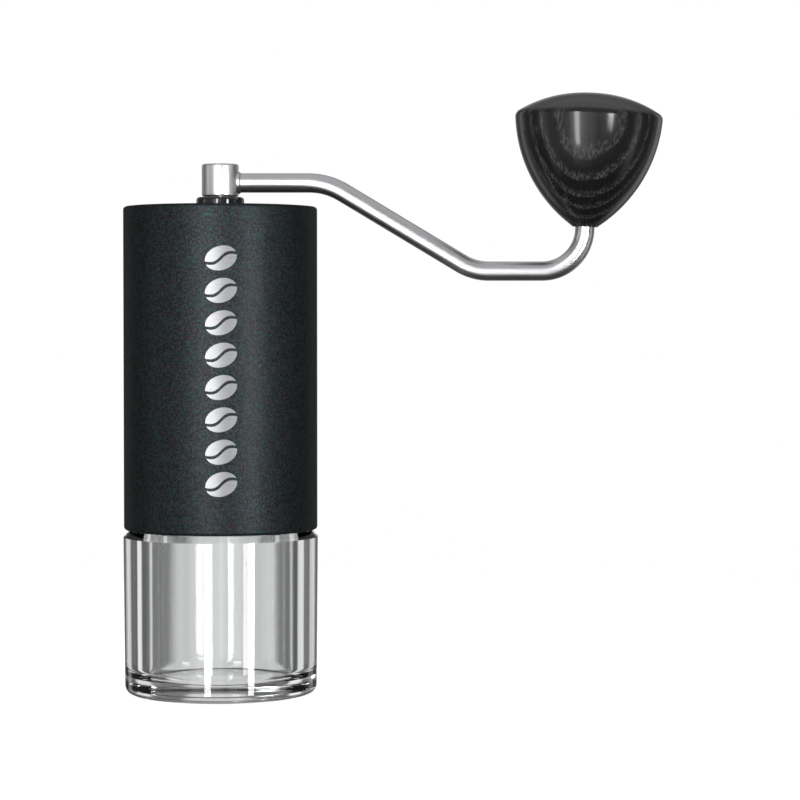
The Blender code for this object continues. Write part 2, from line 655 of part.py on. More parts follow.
# ---------------------------------------------------------------- axle and its small pieces


def axle():
    """One turned bar: threaded end, burr flats, bearing journals, shoulder and the crank's hexagon."""
    lower_journal_top = LOWER_BEARING_BOTTOM + BEARING_WIDTH + METAL_GAP
    thread_top = DIAL_TOP
    profile = [(0, AXLE_TOP - AXLE_HEX_LENGTH), (AXLE_RADIUS, AXLE_TOP - AXLE_HEX_LENGTH)]
    profile += [(AXLE_RADIUS, UPPER_BEARING_BOTTOM - METAL_GAP)]
    profile += [(AXLE_SHOULDER_RADIUS, UPPER_BEARING_BOTTOM - METAL_GAP)]
    profile += [(AXLE_SHOULDER_RADIUS, lower_journal_top), (AXLE_RADIUS, lower_journal_top)]
    profile += [(AXLE_RADIUS, thread_top), (AXLE_THREAD_RADIUS, thread_top)]
    profile += [(AXLE_THREAD_RADIUS, AXLE_BOTTOM), (0, AXLE_BOTTOM)]
    made = turned("axle", profile, BRUSHED, SMALL_ROUND, solid=True)
    corner = AXLE_HEX_FLATS / 2 / math.cos(math.radians(30))
    combine(made, "UNION", prism("axle_hexagon", 6, corner, AXLE_TOP - AXLE_HEX_LENGTH - OVERRUN, AXLE_TOP))
    flats_top = INNER_BURR_TOP + BURR_TRAVEL
    size = (3 * AXLE_RADIUS, AXLE_RADIUS, flats_top - thread_top + OVERRUN)
    for side in (-1, 1):
        centre = (0, side * (AXLE_FLATS + AXLE_RADIUS) / 2, flats_top - size[2] / 2)
        flat = block(f"axle_flat_{'left' if side < 0 else 'right'}", size, centre)
        combine(made, "DIFFERENCE", flat)
    return made


def circlip(name, bottom):
    """A snap ring round the axle, open on one side."""
    bore, top = AXLE_RADIUS + METAL_GAP, bottom + CIRCLIP_THICKNESS
    made = ring(name, bore, CIRCLIP_RADIUS, bottom, top, SPRING_STEEL, SMALL_ROUND)
    size = (CIRCLIP_RADIUS, 0.0022, 4 * CIRCLIP_THICKNESS)
    return combine(made, "DIFFERENCE", block(name + "_mouth", size, (CIRCLIP_RADIUS * 0.9, 0, bottom)))


def spring_washer():
    bore, top = AXLE_RADIUS + METAL_GAP, WASHER_BOTTOM + WASHER_THICKNESS
    return ring("spring_washer", bore, WASHER_RADIUS, WASHER_BOTTOM, top, BRUSHED, SMALL_ROUND)


def burr_spring():
    """Pushes the inner burr down against the dial's nut."""
    low = INNER_BURR_TOP + SPRING_WIRE + METAL_GAP
    rise = WASHER_BOTTOM - SPRING_WIRE - METAL_GAP - low
    points = helix(SPRING_COIL_RADIUS, low, rise / SPRING_COILS, SPRING_COILS, 14)
    return wire("burr_spring", points, SPRING_WIRE, 1, SPRING_STEEL)


# ---------------------------------------------------------------- grind adjustment


def click_plate():
    """Turns with the inner burr. Its ring of dimples gives the clicks."""
    top = CLICK_PLATE_BOTTOM + CLICK_PLATE_THICKNESS
    made = prism("click_plate", LARGE_ROUND, CLICK_PLATE_RADIUS, CLICK_PLATE_BOTTOM, top, material=BRUSHED)
    bore = double_d(
        "click_plate_bore", AXLE_RADIUS + METAL_GAP, AXLE_FLATS + 2 * METAL_GAP,
        CLICK_PLATE_BOTTOM - OVERRUN, top + OVERRUN,
    )
    combine(made, "DIFFERENCE", bore)
    dimple_depth = 0.0004
    for i, angle in enumerate(around(CLICKS_PER_TURN)):
        dimple = prism(
            f"click_dimple_{i}", 6, DETENT_BALL_RADIUS, CLICK_PLATE_BOTTOM - OVERRUN,
            CLICK_PLATE_BOTTOM + dimple_depth, collection=CUTTERS,
        )
        dimple.location = polar(DETENT_CIRCLE_RADIUS, angle, 0)
        combine(made, "DIFFERENCE", dimple)
    return made


def adjusting_dial():
    """A lobed wheel with a round bore for its brass nut and two pockets for the detents."""
    outline = bpy.data.curves.new("adjusting_dial", "CURVE")
    outline.dimensions = "2D"
    outline.fill_mode = "BOTH"
    outline.extrude = DIAL_HEIGHT / 2
    spline = outline.splines.new("POLY")
    steps = DIAL_LOBES * 6
    spline.points.add(steps - 1)
    for point, angle in zip(spline.points, around(steps)):
        reach = DIAL_RADIUS + DIAL_LOBE * math.cos(math.radians(angle * DIAL_LOBES))
        point.co = (*polar(reach, angle, 0), 1)
    spline.use_cyclic_u = True
    made = placed(bpy.data.objects.new("adjusting_dial", outline), BLACK_PLASTIC)
    made.location.z = (DIAL_TOP + DIAL_BOTTOM) / 2
    bpy.context.view_layer.update()
    made = meshed(made)
    made.data.transform(made.matrix_world)
    made.matrix_world = Matrix.Identity(4)
    bore = prism(
        "dial_bore", SMALL_ROUND, DIAL_NUT_RADIUS + METAL_GAP, DIAL_BOTTOM - OVERRUN, DIAL_TOP + OVERRUN,
        collection=CUTTERS,
    )
    combine(made, "DIFFERENCE", bore)
    for i, angle in enumerate(around(DETENT_COUNT, 15)):
        pocket = prism(
            f"detent_pocket_{i}", 12, DETENT_BALL_RADIUS + 2 * METAL_GAP, DIAL_TOP - DETENT_POCKET_DEPTH,
            DIAL_TOP + OVERRUN, collection=CUTTERS,
        )
        pocket.location = polar(DETENT_CIRCLE_RADIUS, angle, 0)
        combine(made, "DIFFERENCE", pocket)
    return made


def dial_nut():
    bore = AXLE_THREAD_RADIUS + METAL_GAP
    return ring("dial_nut", bore, DIAL_NUT_RADIUS, DIAL_BOTTOM, DIAL_TOP - METAL_GAP, BRASS, SMALL_ROUND)


def detents():
    """A sprung ball in each of the dial's pockets."""
    ball_centre = CLICK_PLATE_BOTTOM - METAL_GAP - DETENT_BALL_RADIUS
    spring_wire = 0.00018
    low = DIAL_TOP - DETENT_POCKET_DEPTH + spring_wire + METAL_GAP
    rise = ball_centre - DETENT_BALL_RADIUS - spring_wire - METAL_GAP - low
    coils = 4
    for i, angle in enumerate(around(DETENT_COUNT, 15)):
        mesh = bpy.data.meshes.new(f"detent_ball_{i + 1}")
        body = bmesh.new()
        bmesh.ops.create_icosphere(body, subdivisions=2, radius=DETENT_BALL_RADIUS)
        body.to_mesh(mesh)
        body.free()
        ball = placed(bpy.data.objects.new(mesh.name, mesh), SPRING_STEEL)
        ball.location = polar(DETENT_CIRCLE_RADIUS, angle, ball_centre)
        points = helix(DETENT_BALL_RADIUS - spring_wire, low, rise / coils, coils, 8)
        spring = wire(f"detent_spring_{i + 1}", points, spring_wire, 0, SPRING_STEEL)
        spring.location = polar(DETENT_CIRCLE_RADIUS, angle, 0)


# ---------------------------------------------------------------- lid


def lid():
    """A shallow lid whose skirt plugs the tube, with a glossy collar round the axle."""
    rim = TUBE_BORE - SEAT_GAP
    bore = AXLE_RADIUS + RUNNING_GAP
    skirt_bottom = LID_SEAT + SEAT_GAP
    groove = SEAL_CENTRE_RADIUS - SEAL_RADIUS - METAL_GAP
    half_groove = SEAL_RADIUS + METAL_GAP
    skirt_inside = rim - LID_SKIRT_WALL
    fillet, edge = LID_COLLAR_FILLET, LID_EDGE_CHAMFER
    hub_bottom = LID_SEAT + LID_HUB_RISE
    collar_root = LID_TOP + LID_RISE
    profile = [(bore, COLLAR_TOP)]
    profile += arc(LID_COLLAR_RADIUS - fillet, COLLAR_TOP - fillet, fillet, 90, 0, 2)
    profile += [(LID_COLLAR_RADIUS, collar_root), (rim - edge, LID_TOP), (rim, LID_TOP - edge)]
    profile += [(rim, SEAL_HEIGHT + half_groove), (groove, SEAL_HEIGHT + half_groove)]
    profile += [(groove, SEAL_HEIGHT - half_groove), (rim, SEAL_HEIGHT - half_groove), (rim, skirt_bottom)]
    profile += [(skirt_inside, skirt_bottom), (skirt_inside, LID_TOP - LID_THICKNESS)]
    profile += [(LID_COLLAR_RADIUS, LID_TOP - LID_THICKNESS + LID_RISE)]
    profile += [(LID_COLLAR_RADIUS, hub_bottom), (bore, hub_bottom)]
    return turned("lid", profile, GLOSS_PLASTIC)


def lid_seal():
    """An O-ring in the skirt's groove, which grips the tube."""
    profile = arc(SEAL_CENTRE_RADIUS, SEAL_HEIGHT, SEAL_RADIUS, 0, -300, 5)
    return turned("lid_seal", profile, SILICONE)


# ---------------------------------------------------------------- crank


def bend(corner, before, after, radius, steps):
    """Points on the arc that rounds a corner between two directions."""
    before, after = before.normalized(), after.normalized()
    turn = before.angle(after)
    start = corner - before * radius * math.tan(turn / 2)
    side = (after - before * after.dot(before)).normalized()
    centre = start + side * radius
    angles = [turn * i / steps for i in range(steps + 1)]
    return [centre - side * radius * math.cos(a) + before * radius * math.sin(a) for a in angles]


def crank_boss():
    top_fillet = arc(BOSS_RADIUS - BOSS_FILLET, BOSS_TOP - BOSS_FILLET, BOSS_FILLET, 90, 0, 2)
    profile = [(0, BOSS_TOP), *top_fillet, (BOSS_RADIUS, BOSS_BOTTOM + BOSS_FOOT_CHAMFER)]
    profile += [(BOSS_RADIUS - BOSS_FOOT_CHAMFER, BOSS_BOTTOM), (0, BOSS_BOTTOM)]
    made = turned("crank_boss", profile, BRUSHED, LARGE_ROUND, solid=True)
    corner = (AXLE_HEX_FLATS / 2 + METAL_GAP) / math.cos(math.radians(30))
    socket_top = AXLE_TOP + SEAT_GAP
    return combine(
        made, "DIFFERENCE",
        prism("boss_socket", 6, corner, BOSS_BOTTOM - OVERRUN, socket_top, collection=CUTTERS),
    )


def crank_arm():
    """A bent rod. Its far end is turned down to a pin with a groove for the knob's snap ring."""
    across, down = Vector((1, 0, 0)), Vector((math.cos(ARM_SLOPE), 0, -math.sin(ARM_SLOPE)))
    first = Vector((ARM_UPPER_RUN, 0, ARM_UPPER))
    second = first + down * (ARM_DROP / math.sin(ARM_SLOPE))
    third = PIN_BEND_CENTRE + Vector((PIN_BEND * math.tan((math.pi / 2 - PIN_LEAN) / 2), 0, -PIN_BEND))
    points = [Vector((BOSS_RADIUS / 2, 0, ARM_UPPER))]
    points += bend(first, across, down, UPPER_BEND, 5)
    points += bend(second, down, across, LOWER_BEND, 5)
    points += bend(third, across, KNOB_AXIS, PIN_BEND, 9)
    shares = [1.0] * len(points)
    pin, groove = PIN_RADIUS / ROD_RADIUS, (PIN_RADIUS - SNAP_GROOVE_DEPTH) / ROD_RADIUS
    step, half = 0.00005, SNAP_GROOVE_WIDTH / 2
    steps = [
        (PIN_START, 1.0), (PIN_START + step, pin),
        (SNAP_GROOVE - half, pin), (SNAP_GROOVE - half + step, groove),
        (SNAP_GROOVE + half - step, groove), (SNAP_GROOVE + half, pin),
        (PIN_END - PIN_TIP_TAPER, pin), (PIN_END, pin * 0.8),
    ]
    points += [KNOB_BASE + KNOB_AXIS * along for along, _ in steps]
    shares += [share for _, share in steps]
    made = meshed(wire("crank_arm", points, ROD_RADIUS, 4, BRUSHED, shares))
    cope = prism(
        "arm_cope", LARGE_ROUND, BOSS_RADIUS + METAL_GAP, BOSS_BOTTOM - OVERRUN, BOSS_TOP + OVERRUN,
        collection=CUTTERS,
    )
    return combine(made, "DIFFERENCE", cope)


# ---------------------------------------------------------------- knob


def on_pin(obj, along=0.0):
    """Stands a piece that was made about Z on the crank's leaning pin."""
    obj.rotation_euler = (0, PIN_LEAN, 0)
    obj.location = KNOB_BASE + KNOB_AXIS * along
    return obj


def arc_between(start, end, radius, steps):
    """An arc that bulges to the right of the way from start to end, both points included."""
    a, b = Vector((start[0], start[1])), Vector((end[0], end[1]))
    chord = b - a
    out = Vector((-chord.y, chord.x)).normalized()
    centre = (a + b) / 2 - out * math.sqrt(max(radius**2 - (chord.length / 2) ** 2, 0))
    first = math.atan2(a.y - centre.y, a.x - centre.x)
    last = math.atan2(b.y - centre.y, b.x - centre.x)
    angles = [first + (last - first) * i / steps for i in range(steps + 1)]
    return [(centre.x + radius * math.cos(t), centre.y + radius * math.sin(t)) for t in angles]


def knob():
    """Turned oak: a shallow dome over a side that curves in to a narrow end."""
    fillet = KNOB_EDGE_FILLET
    edge = arc(KNOB_RADIUS - fillet, KNOB_EDGE_HEIGHT, fillet, KNOB_DOME_EDGE_DEG, 0, 3)
    side_end = (KNOB_END_RADIUS + KNOB_END_CHAMFER, KNOB_END_CHAMFER)
    profile = arc_between((0, KNOB_HEIGHT), edge[0], KNOB_DOME_RADIUS, 3)
    profile += edge[1:] + arc_between(edge[-1], side_end, KNOB_SIDE_RADIUS, 6)[1:]
    bore = BUSHING_BORE + BUSHING_WALL + METAL_GAP
    profile += [(KNOB_END_RADIUS, 0), (KNOB_MOUTH, 0), (KNOB_MOUTH, PIN_START + METAL_GAP)]
    profile += [(bore, PIN_START + METAL_GAP), (bore, KNOB_BORE_DEPTH), (0, KNOB_BORE_DEPTH)]
    return on_pin(turned("knob", profile, STAINED_WOOD, LARGE_ROUND, solid=True))


def knob_bushing():
    """Lines the knob's bore. An inner groove takes the snap ring."""
    outer = BUSHING_BORE + BUSHING_WALL
    top, bottom = KNOB_BORE_DEPTH - SEAT_GAP, PIN_START + SEAT_GAP
    groove, half = BUSHING_BORE + SNAP_WIRE, SNAP_GROOVE_WIDTH / 2
    profile = [(outer, top), (outer, bottom), (BUSHING_BORE, bottom), (BUSHING_BORE, SNAP_GROOVE - half)]
    profile += [(groove, SNAP_GROOVE - half), (groove, SNAP_GROOVE + half)]
    profile += [(BUSHING_BORE, SNAP_GROOVE + half), (BUSHING_BORE, top)]
    return on_pin(turned("knob_bushing", profile, BRASS, SMALL_ROUND))


def knob_snap_ring():
    """An open wire ring in the pin's groove that lets the knob snap on."""
    points = [polar(PIN_RADIUS, angle, 0) for angle in (20 + 20 * i for i in range(17))]
    return on_pin(wire("knob_snap_ring", points, SNAP_WIRE, 0, SPRING_STEEL), SNAP_GROOVE)


# ---------------------------------------------------------------- the whole grinder

jar()
jar_gasket()
thread_ring()
body_tube()
lower_bridge()
hopper_liner()
upper_bridge()
ring_burr()
inner_burr()
burr_retaining_ring()
bearing("lower_bearing", LOWER_BEARING_BOTTOM)
bearing("upper_bearing", UPPER_BEARING_BOTTOM)
axle()
circlip("lower_circlip", LOWER_CIRCLIP_BOTTOM)
circlip("upper_circlip", UPPER_BEARING_BOTTOM + BEARING_WIDTH + METAL_GAP)
spring_washer()
burr_spring()
click_plate()
adjusting_dial()
dial_nut()
detents()
lid()
lid_seal()
crank_boss()
crank_arm()
knob()
knob_bushing()
knob_snap_ring()
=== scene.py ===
import json
import math

import bpy
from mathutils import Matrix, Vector

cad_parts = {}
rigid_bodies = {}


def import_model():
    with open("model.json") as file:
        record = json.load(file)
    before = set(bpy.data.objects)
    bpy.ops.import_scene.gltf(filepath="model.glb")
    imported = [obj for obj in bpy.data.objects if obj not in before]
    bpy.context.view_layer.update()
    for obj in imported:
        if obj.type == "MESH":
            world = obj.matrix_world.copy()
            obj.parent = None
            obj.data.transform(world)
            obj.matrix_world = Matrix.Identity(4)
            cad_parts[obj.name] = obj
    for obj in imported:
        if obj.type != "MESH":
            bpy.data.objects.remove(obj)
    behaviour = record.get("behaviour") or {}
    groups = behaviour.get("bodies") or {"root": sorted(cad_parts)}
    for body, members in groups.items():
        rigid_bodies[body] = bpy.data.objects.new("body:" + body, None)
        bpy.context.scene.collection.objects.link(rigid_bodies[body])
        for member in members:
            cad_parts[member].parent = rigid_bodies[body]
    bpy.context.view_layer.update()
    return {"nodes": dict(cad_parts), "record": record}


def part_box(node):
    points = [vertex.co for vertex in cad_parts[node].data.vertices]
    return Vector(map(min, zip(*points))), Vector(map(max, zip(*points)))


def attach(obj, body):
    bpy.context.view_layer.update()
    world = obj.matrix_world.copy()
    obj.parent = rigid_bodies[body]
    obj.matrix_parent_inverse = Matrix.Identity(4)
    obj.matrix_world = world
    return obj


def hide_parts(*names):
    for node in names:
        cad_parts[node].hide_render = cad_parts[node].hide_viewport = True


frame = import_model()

for leftover in bpy.data.objects:
    leftover.select_set(False)


# ---------------------------------------------------------------- studio
# A pale table top in a white room, with two tall soft boxes in front of the grinder. In reflections the walls
# carry bright panels in front, at both sides and behind. The dark walls between them draw the dark edges in
# the metal and the clear plastic.

TABLE_RADIUS, TABLE_BELOW = 0.6, 0.0002
TABLE_FADE_START, TABLE_FADE_END = 0.26, 0.44
TABLE_GLOW = 0.75
BOX_DISTANCE, BOX_WIDTH, BOX_HEIGHT, BOX_MIDDLE = 0.60, 0.08, 0.64, 0.17
LENS, SENSOR = 123.2, 36.0
EYE, LOOK_DOWN_DEG = (0.0557, -0.850, 0.1163), 1.71
RISE_BAND, RISE_LEVEL = (0.28, 0.46), 0.20
CEILING_BAND, CEILING_LEVEL = (0.45, 0.85), 0.62
FLOOR_BAND, FLOOR_REFLECTED, FLOOR_THROUGH = (-0.78, -0.46), 0.05, 0.62
BRIGHTEST = 2.0
WALLS = [  # degrees from straight ahead of the grinder, brightness
    (-180, 0.60), (-168, 0.60), (-163, 0.14), (-145, 0.08), (-142, 0.90), (-134, 0.90), (-130, 0.12),
    (-90, 0.15), (-88, 1.20), (-76, 1.20), (-70, 0.50), (-36, 0.40), (-30, 2.00), (-10, 2.00), (-6, 1.50),
    (4, 1.50), (9, 0.50), (24, 0.40), (30, 0.16), (72, 0.10), (76, 1.20), (86, 1.20), (88, 0.12),
    (131, 0.10), (136, 0.80), (148, 0.80), (151, 0.16), (167, 0.16), (171, 0.60), (180, 0.60),
]


class Term:
    """A shader output that can stand in sums and products."""

    def __init__(self, shader, socket):
        self.shader, self.socket = shader, socket

    def joined(self, operation, first, second):
        return self.shader.add("ShaderNodeMath", {"operation": operation}, {0: first, 1: second})

    def __add__(self, other):
        return self.joined("ADD", self, other)

    def __radd__(self, other):
        return self.joined("ADD", other, self)

    def __sub__(self, other):
        return self.joined("SUBTRACT", self, other)

    def __rsub__(self, other):
        return self.joined("SUBTRACT", other, self)

    def __mul__(self, other):
        return self.joined("MULTIPLY", self, other)

    def __rmul__(self, other):
        return self.joined("MULTIPLY", other, self)


class Shader:
    """The nodes of one material, or of the world."""

    def __init__(self, owner):
        owner.use_nodes = True
        self.owner, self.tree = owner, owner.node_tree

    def add(self, kind, settings, inputs, output=0):
        """Makes a node, sets it up, feeds its sockets and gives back one output."""
        node = self.tree.nodes.new(kind)
        for key, value in settings.items():
            if key == "stops":
                self.set_stops(node.color_ramp, value)
            else:
                setattr(node, key, value)
        for key, value in inputs.items():
            self.feed(node.inputs[key], value)
        return Term(self, node.outputs[output])

    def feed(self, socket, value):
        if isinstance(value, Term):
            self.tree.links.new(value.socket, socket)
        else:
            socket.default_value = value

    def set_stops(self, ramp, stops):
        while len(ramp.elements) < len(stops):
            ramp.elements.new(1.0)
        for element, (place, level) in zip(ramp.elements, stops):
            element.position = place
            element.color = (level, level, level, 1.0)

    def place(self, scale=(1, 1, 1), shift=(0, 0, 0)):
        """Object coordinates, moved and stretched."""
        where = self.add("ShaderNodeTexCoord", {}, {}, "Object")
        inputs = {"Vector": where, "Location": shift, "Scale": scale}
        return self.add("ShaderNodeMapping", {}, inputs)

    def noise(self, vector, scale, detail=2.0, roughness=0.5):
        inputs = {"Vector": vector, "Scale": scale, "Detail": detail, "Roughness": roughness}
        return self.add("ShaderNodeTexNoise", {}, inputs)

    def mix(self, share, first, second):
        """Colour between first and second."""
        return self.add("ShaderNodeMix", {"data_type": "RGBA"}, {0: share, 6: first, 7: second}, 2)

    def band(self, value, low, high):
        """0 below low, 1 above high, smooth between them."""
        inputs = {"Value": value, "From Min": low, "From Max": high}
        return self.add("ShaderNodeMapRange", {"interpolation_type": "SMOOTHSTEP"}, inputs)

    def bump(self, height, distance, strength):
        return self.add("ShaderNodeBump", {}, {"Height": height, "Distance": distance, "Strength": strength})

    def surface(self, values):
        """Sets or feeds the Principled BSDF, and gives back the material."""
        principled = self.tree.nodes["Principled BSDF"]
        for key, value in values.items():
            self.feed(principled.inputs[key], value)
        return self.owner


def new_shader(name):
    return Shader(bpy.data.materials.new(name))


def grey(level):
    return (level, level, level, 1)


def dress(piece, material):
    piece.data.materials.clear()
    piece.data.materials.append(material)


def table_top():
    """Pale to the eye. Metal and clear plastic look past it, into the room."""
    bpy.ops.object.select_all(action="DESELECT")
    bpy.ops.mesh.primitive_circle_add(
        vertices=96, radius=TABLE_RADIUS, fill_type="NGON", location=(0, 0, -TABLE_BELOW)
    )
    table = bpy.context.object
    table.name = "table_top"
    shader = new_shader("pale_table")
    place = shader.place()
    reach = shader.add("ShaderNodeVectorMath", {"operation": "LENGTH"}, {0: place}, "Value")
    fade = shader.band(reach, TABLE_FADE_START, TABLE_FADE_END)
    pale = shader.mix(shader.noise(place, 400.0), grey(0.84), grey(0.88))
    polished = shader.add("ShaderNodeLightPath", {}, {}, "Is Glossy Ray")
    seen = shader.add("ShaderNodeLightPath", {}, {}, "Is Camera Ray")
    glow = shader.mix(seen, grey(0), grey(TABLE_GLOW))
    values = {"Base Color": pale, "Roughness": 0.8, "Alpha": (1 - fade) * (1 - polished)}
    values |= {"Emission Color": glow, "Emission Strength": 1.0, "Specular IOR Level": 0.1}
    dress(table, shader.surface(values))


def soft_box(name, azimuth_deg, power, spread_deg):
    """A tall soft box that faces the axle. Azimuth 0 is in front, and positive is to the right."""
    azimuth = math.radians(azimuth_deg)
    light = bpy.data.lights.new(name, "AREA")
    light.shape = "RECTANGLE"
    light.size, light.size_y = BOX_WIDTH, BOX_HEIGHT
    light.energy = power
    light.spread = math.radians(spread_deg)
    box = bpy.data.objects.new(name, light)
    bpy.context.scene.collection.objects.link(box)
    box.location = (BOX_DISTANCE * math.sin(azimuth), -BOX_DISTANCE * math.cos(azimuth), BOX_MIDDLE)
    towards = Vector((0, 0, BOX_MIDDLE)) - box.location
    box.rotation_euler = towards.to_track_quat("-Z", "Y").to_euler()


def white_room():
    """White to the eye. In reflections the walls carry the panels, and the ceiling is a soft grey.
    The floor is dark in a reflection, and pale through the clear plastic."""
    world = bpy.data.worlds.new("white_room")
    bpy.context.scene.world = world
    shader = Shader(world)
    where = shader.add("ShaderNodeTexCoord", {}, {}, "Generated")
    x = shader.add("ShaderNodeSeparateXYZ", {}, {0: where}, "X")
    y = shader.add("ShaderNodeSeparateXYZ", {}, {0: where}, "Y")
    z = shader.add("ShaderNodeSeparateXYZ", {}, {0: where}, "Z")
    azimuth = shader.add("ShaderNodeMath", {"operation": "ARCTAN2"}, {0: x, 1: y * -1})
    stops = [(0.5 + degrees / 360, level / BRIGHTEST) for degrees, level in WALLS]
    share = azimuth * (0.5 / math.pi) + 0.5
    walls = shader.add("ShaderNodeValToRGB", {"stops": stops}, {0: share}) * BRIGHTEST
    rise = shader.band(z, *RISE_BAND)
    upper = shader.mix(rise, walls, grey(RISE_LEVEL))
    ceiling = shader.mix(shader.band(z, *CEILING_BAND), upper, grey(CEILING_LEVEL))
    through = shader.add("ShaderNodeLightPath", {}, {}, "Is Transmission Ray")
    floor = shader.mix(through, grey(FLOOR_REFLECTED), grey(FLOOR_THROUGH))
    room = shader.mix(shader.band(z, *FLOOR_BAND), floor, ceiling)
    eye = shader.add("ShaderNodeLightPath", {}, {}, "Is Camera Ray")
    shader.feed(shader.tree.nodes["Background"].inputs["Color"], shader.mix(eye, room, grey(1.0)))


def camera():
    seen = bpy.data.cameras.new("camera")
    seen.lens, seen.sensor_width = LENS, SENSOR
    eye = bpy.data.objects.new("camera", seen)
    bpy.context.scene.collection.objects.link(eye)
    eye.location = EYE
    eye.rotation_euler = (math.radians(90 - LOOK_DOWN_DEG), 0, 0)
    bpy.context.scene.camera = eye


camera()
table_top()
soft_box("left_soft_box", azimuth_deg=-12, power=2.9, spread_deg=180)
soft_box("right_soft_box", azimuth_deg=39, power=0.30, spread_deg=40)
white_room()
bpy.context.scene.view_settings.view_transform = "Standard"


# ---------------------------------------------------------------- body tube
# Drawn aluminium tube, its two rims rolled to a small radius, sprayed with a near-black coat that has fine
# teal and grey flakes in it. The other pieces are held inside it.

BODY_OF = {node: body for body, nodes in frame["record"]["behaviour"]["bodies"].items() for node in nodes}
ROUND_SIDES = 144
RIM_RADIUS = 0.0010
TUBE_WALL = 0.0018


def arc(centre_radius, centre_height, radius, start_deg, end_deg, steps):
    """(radius, height) points on an arc, both ends included."""
    angles = [math.radians(start_deg + (end_deg - start_deg) * i / steps) for i in range(steps + 1)]
    return [(centre_radius + radius * math.cos(a), centre_height + radius * math.sin(a)) for a in angles]


def turned(name, rings, closed, sides=ROUND_SIDES, smooth_deg=35):
    """Extrudes a circle round the axle through (radius, height) rings, then joins or caps the two ends."""
    bpy.ops.object.select_all(action="DESELECT")
    radius, height = rings[0]
    bpy.ops.mesh.primitive_circle_add(vertices=sides, radius=radius, location=(0, 0, height))
    piece = bpy.context.object
    piece.name = name
    bpy.ops.object.transform_apply()
    bpy.ops.object.mode_set(mode="EDIT")
    for next_radius, next_height in rings[1:]:
        bpy.ops.mesh.extrude_region_move(TRANSFORM_OT_translate={"value": (0, 0, next_height - height)})
        share = next_radius / radius
        bpy.ops.transform.resize(value=(share, share, 1), center_override=(0, 0, next_height))
        radius, height = next_radius, next_height
    close_ends(closed)
    settle(piece, smooth_deg)
    return piece


def close_ends(bridge):
    """Bridges the two open loops to each other, or caps each of them."""
    bpy.ops.mesh.select_all(action="DESELECT")
    bpy.ops.mesh.select_non_manifold()
    if bridge:
        bpy.ops.mesh.bridge_edge_loops()
    else:
        bpy.ops.mesh.fill_holes(sides=0)


def settle(piece, smooth_deg=35):
    """Turns every face outwards, leaves edit mode and shades the curved faces smooth."""
    bpy.ops.mesh.select_all(action="SELECT")
    bpy.ops.mesh.normals_make_consistent(inside=False)
    bpy.ops.object.mode_set(mode="OBJECT")
    bpy.ops.object.shade_smooth_by_angle(angle=math.radians(smooth_deg))


def stands_for(piece, node, material):
    """Dresses a piece, and fixes it where the node is that it replaces."""
    dress(piece, material)
    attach(piece, BODY_OF[node])
    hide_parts(node)


def flake_coat():
    """A black coat with two sorts of flake: dense grey ones, and sparse teal ones in loose clouds."""
    shader = new_shader("flake_coat")
    place = shader.place()
    flakes = shader.add("ShaderNodeTexVoronoi", {}, {"Vector": place, "Scale": 2600.0}, "Color")
    tint = shader.add("ShaderNodeSeparateColor", {}, {0: flakes}, 0)
    level = shader.add("ShaderNodeSeparateColor", {}, {0: flakes}, 1)
    cloud = shader.noise(place, 1300.0, 2.0, 0.6)
    teal = shader.band(tint * 0.6 + cloud * 0.8, 0.84, 1.04)
    dark = shader.mix(level * level, (0.013, 0.013, 0.014, 1), (0.038, 0.038, 0.042, 1))
    colour = shader.mix(teal, dark, (0.011, 0.046, 0.045, 1))
    tilt = shader.bump(level + cloud, 0.00005, 0.6)
    rough = 0.40 + level * 0.12
    values = {"Base Color": colour, "Metallic": 0.85, "Roughness": rough, "Normal": tilt}
    values |= {"Specular Tint": grey(0.55), "Specular IOR Level": 0.3}
    return shader.surface(values)


def body_tube():
    low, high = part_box("body_tube")
    outer, inner = high[0], high[0] - TUBE_WALL
    ease = RIM_RADIUS * 0.3
    rings = [(inner, high[2] - ease), (inner + ease, high[2])]
    rings += arc(outer - RIM_RADIUS, high[2] - RIM_RADIUS, RIM_RADIUS, 90, 0, 6)
    rings += arc(outer - RIM_RADIUS, low[2] + RIM_RADIUS, RIM_RADIUS, 0, -90, 6)
    rings += [(inner + ease, low[2]), (inner, low[2] + ease)]
    stands_for(turned("tube_shell", rings, closed=True), "body_tube", flake_coat())


body_tube()


# ---------------------------------------------------------------- bean mark
# A plain column of coffee beans in silver foil, on the front of the tube where a maker would print a name.
# Each bean is a thin oval with a wavy seam, pressed from foil and wrapped round the tube.

BEAN_COUNT = 8
BEAN_LENGTH, BEAN_WIDTH = 0.0098, 0.0072
BEAN_PITCH = 0.0097
BEAN_FOIL = 0.00006
BEAN_TILT = math.radians(18)
BEAN_SIDES, BEAN_CUTS, SEAM_CUTS = 64, 4, 19
SEAM_WIDTH, SEAM_SWING = 0.00095, 0.0008
MARK_TOP = 0.1392
MARK_TURN = math.radians(4)


def combine(piece, tool, operation):
    """Cuts the tool out of the piece, or joins it on, and takes the tool away."""
    change = piece.modifiers.new("combine", "BOOLEAN")
    change.operation, change.object, change.solver = operation, tool, "EXACT"
    bpy.context.view_layer.objects.active = piece
    bpy.ops.object.modifier_apply(modifier=change.name)
    bpy.data.objects.remove(tool)


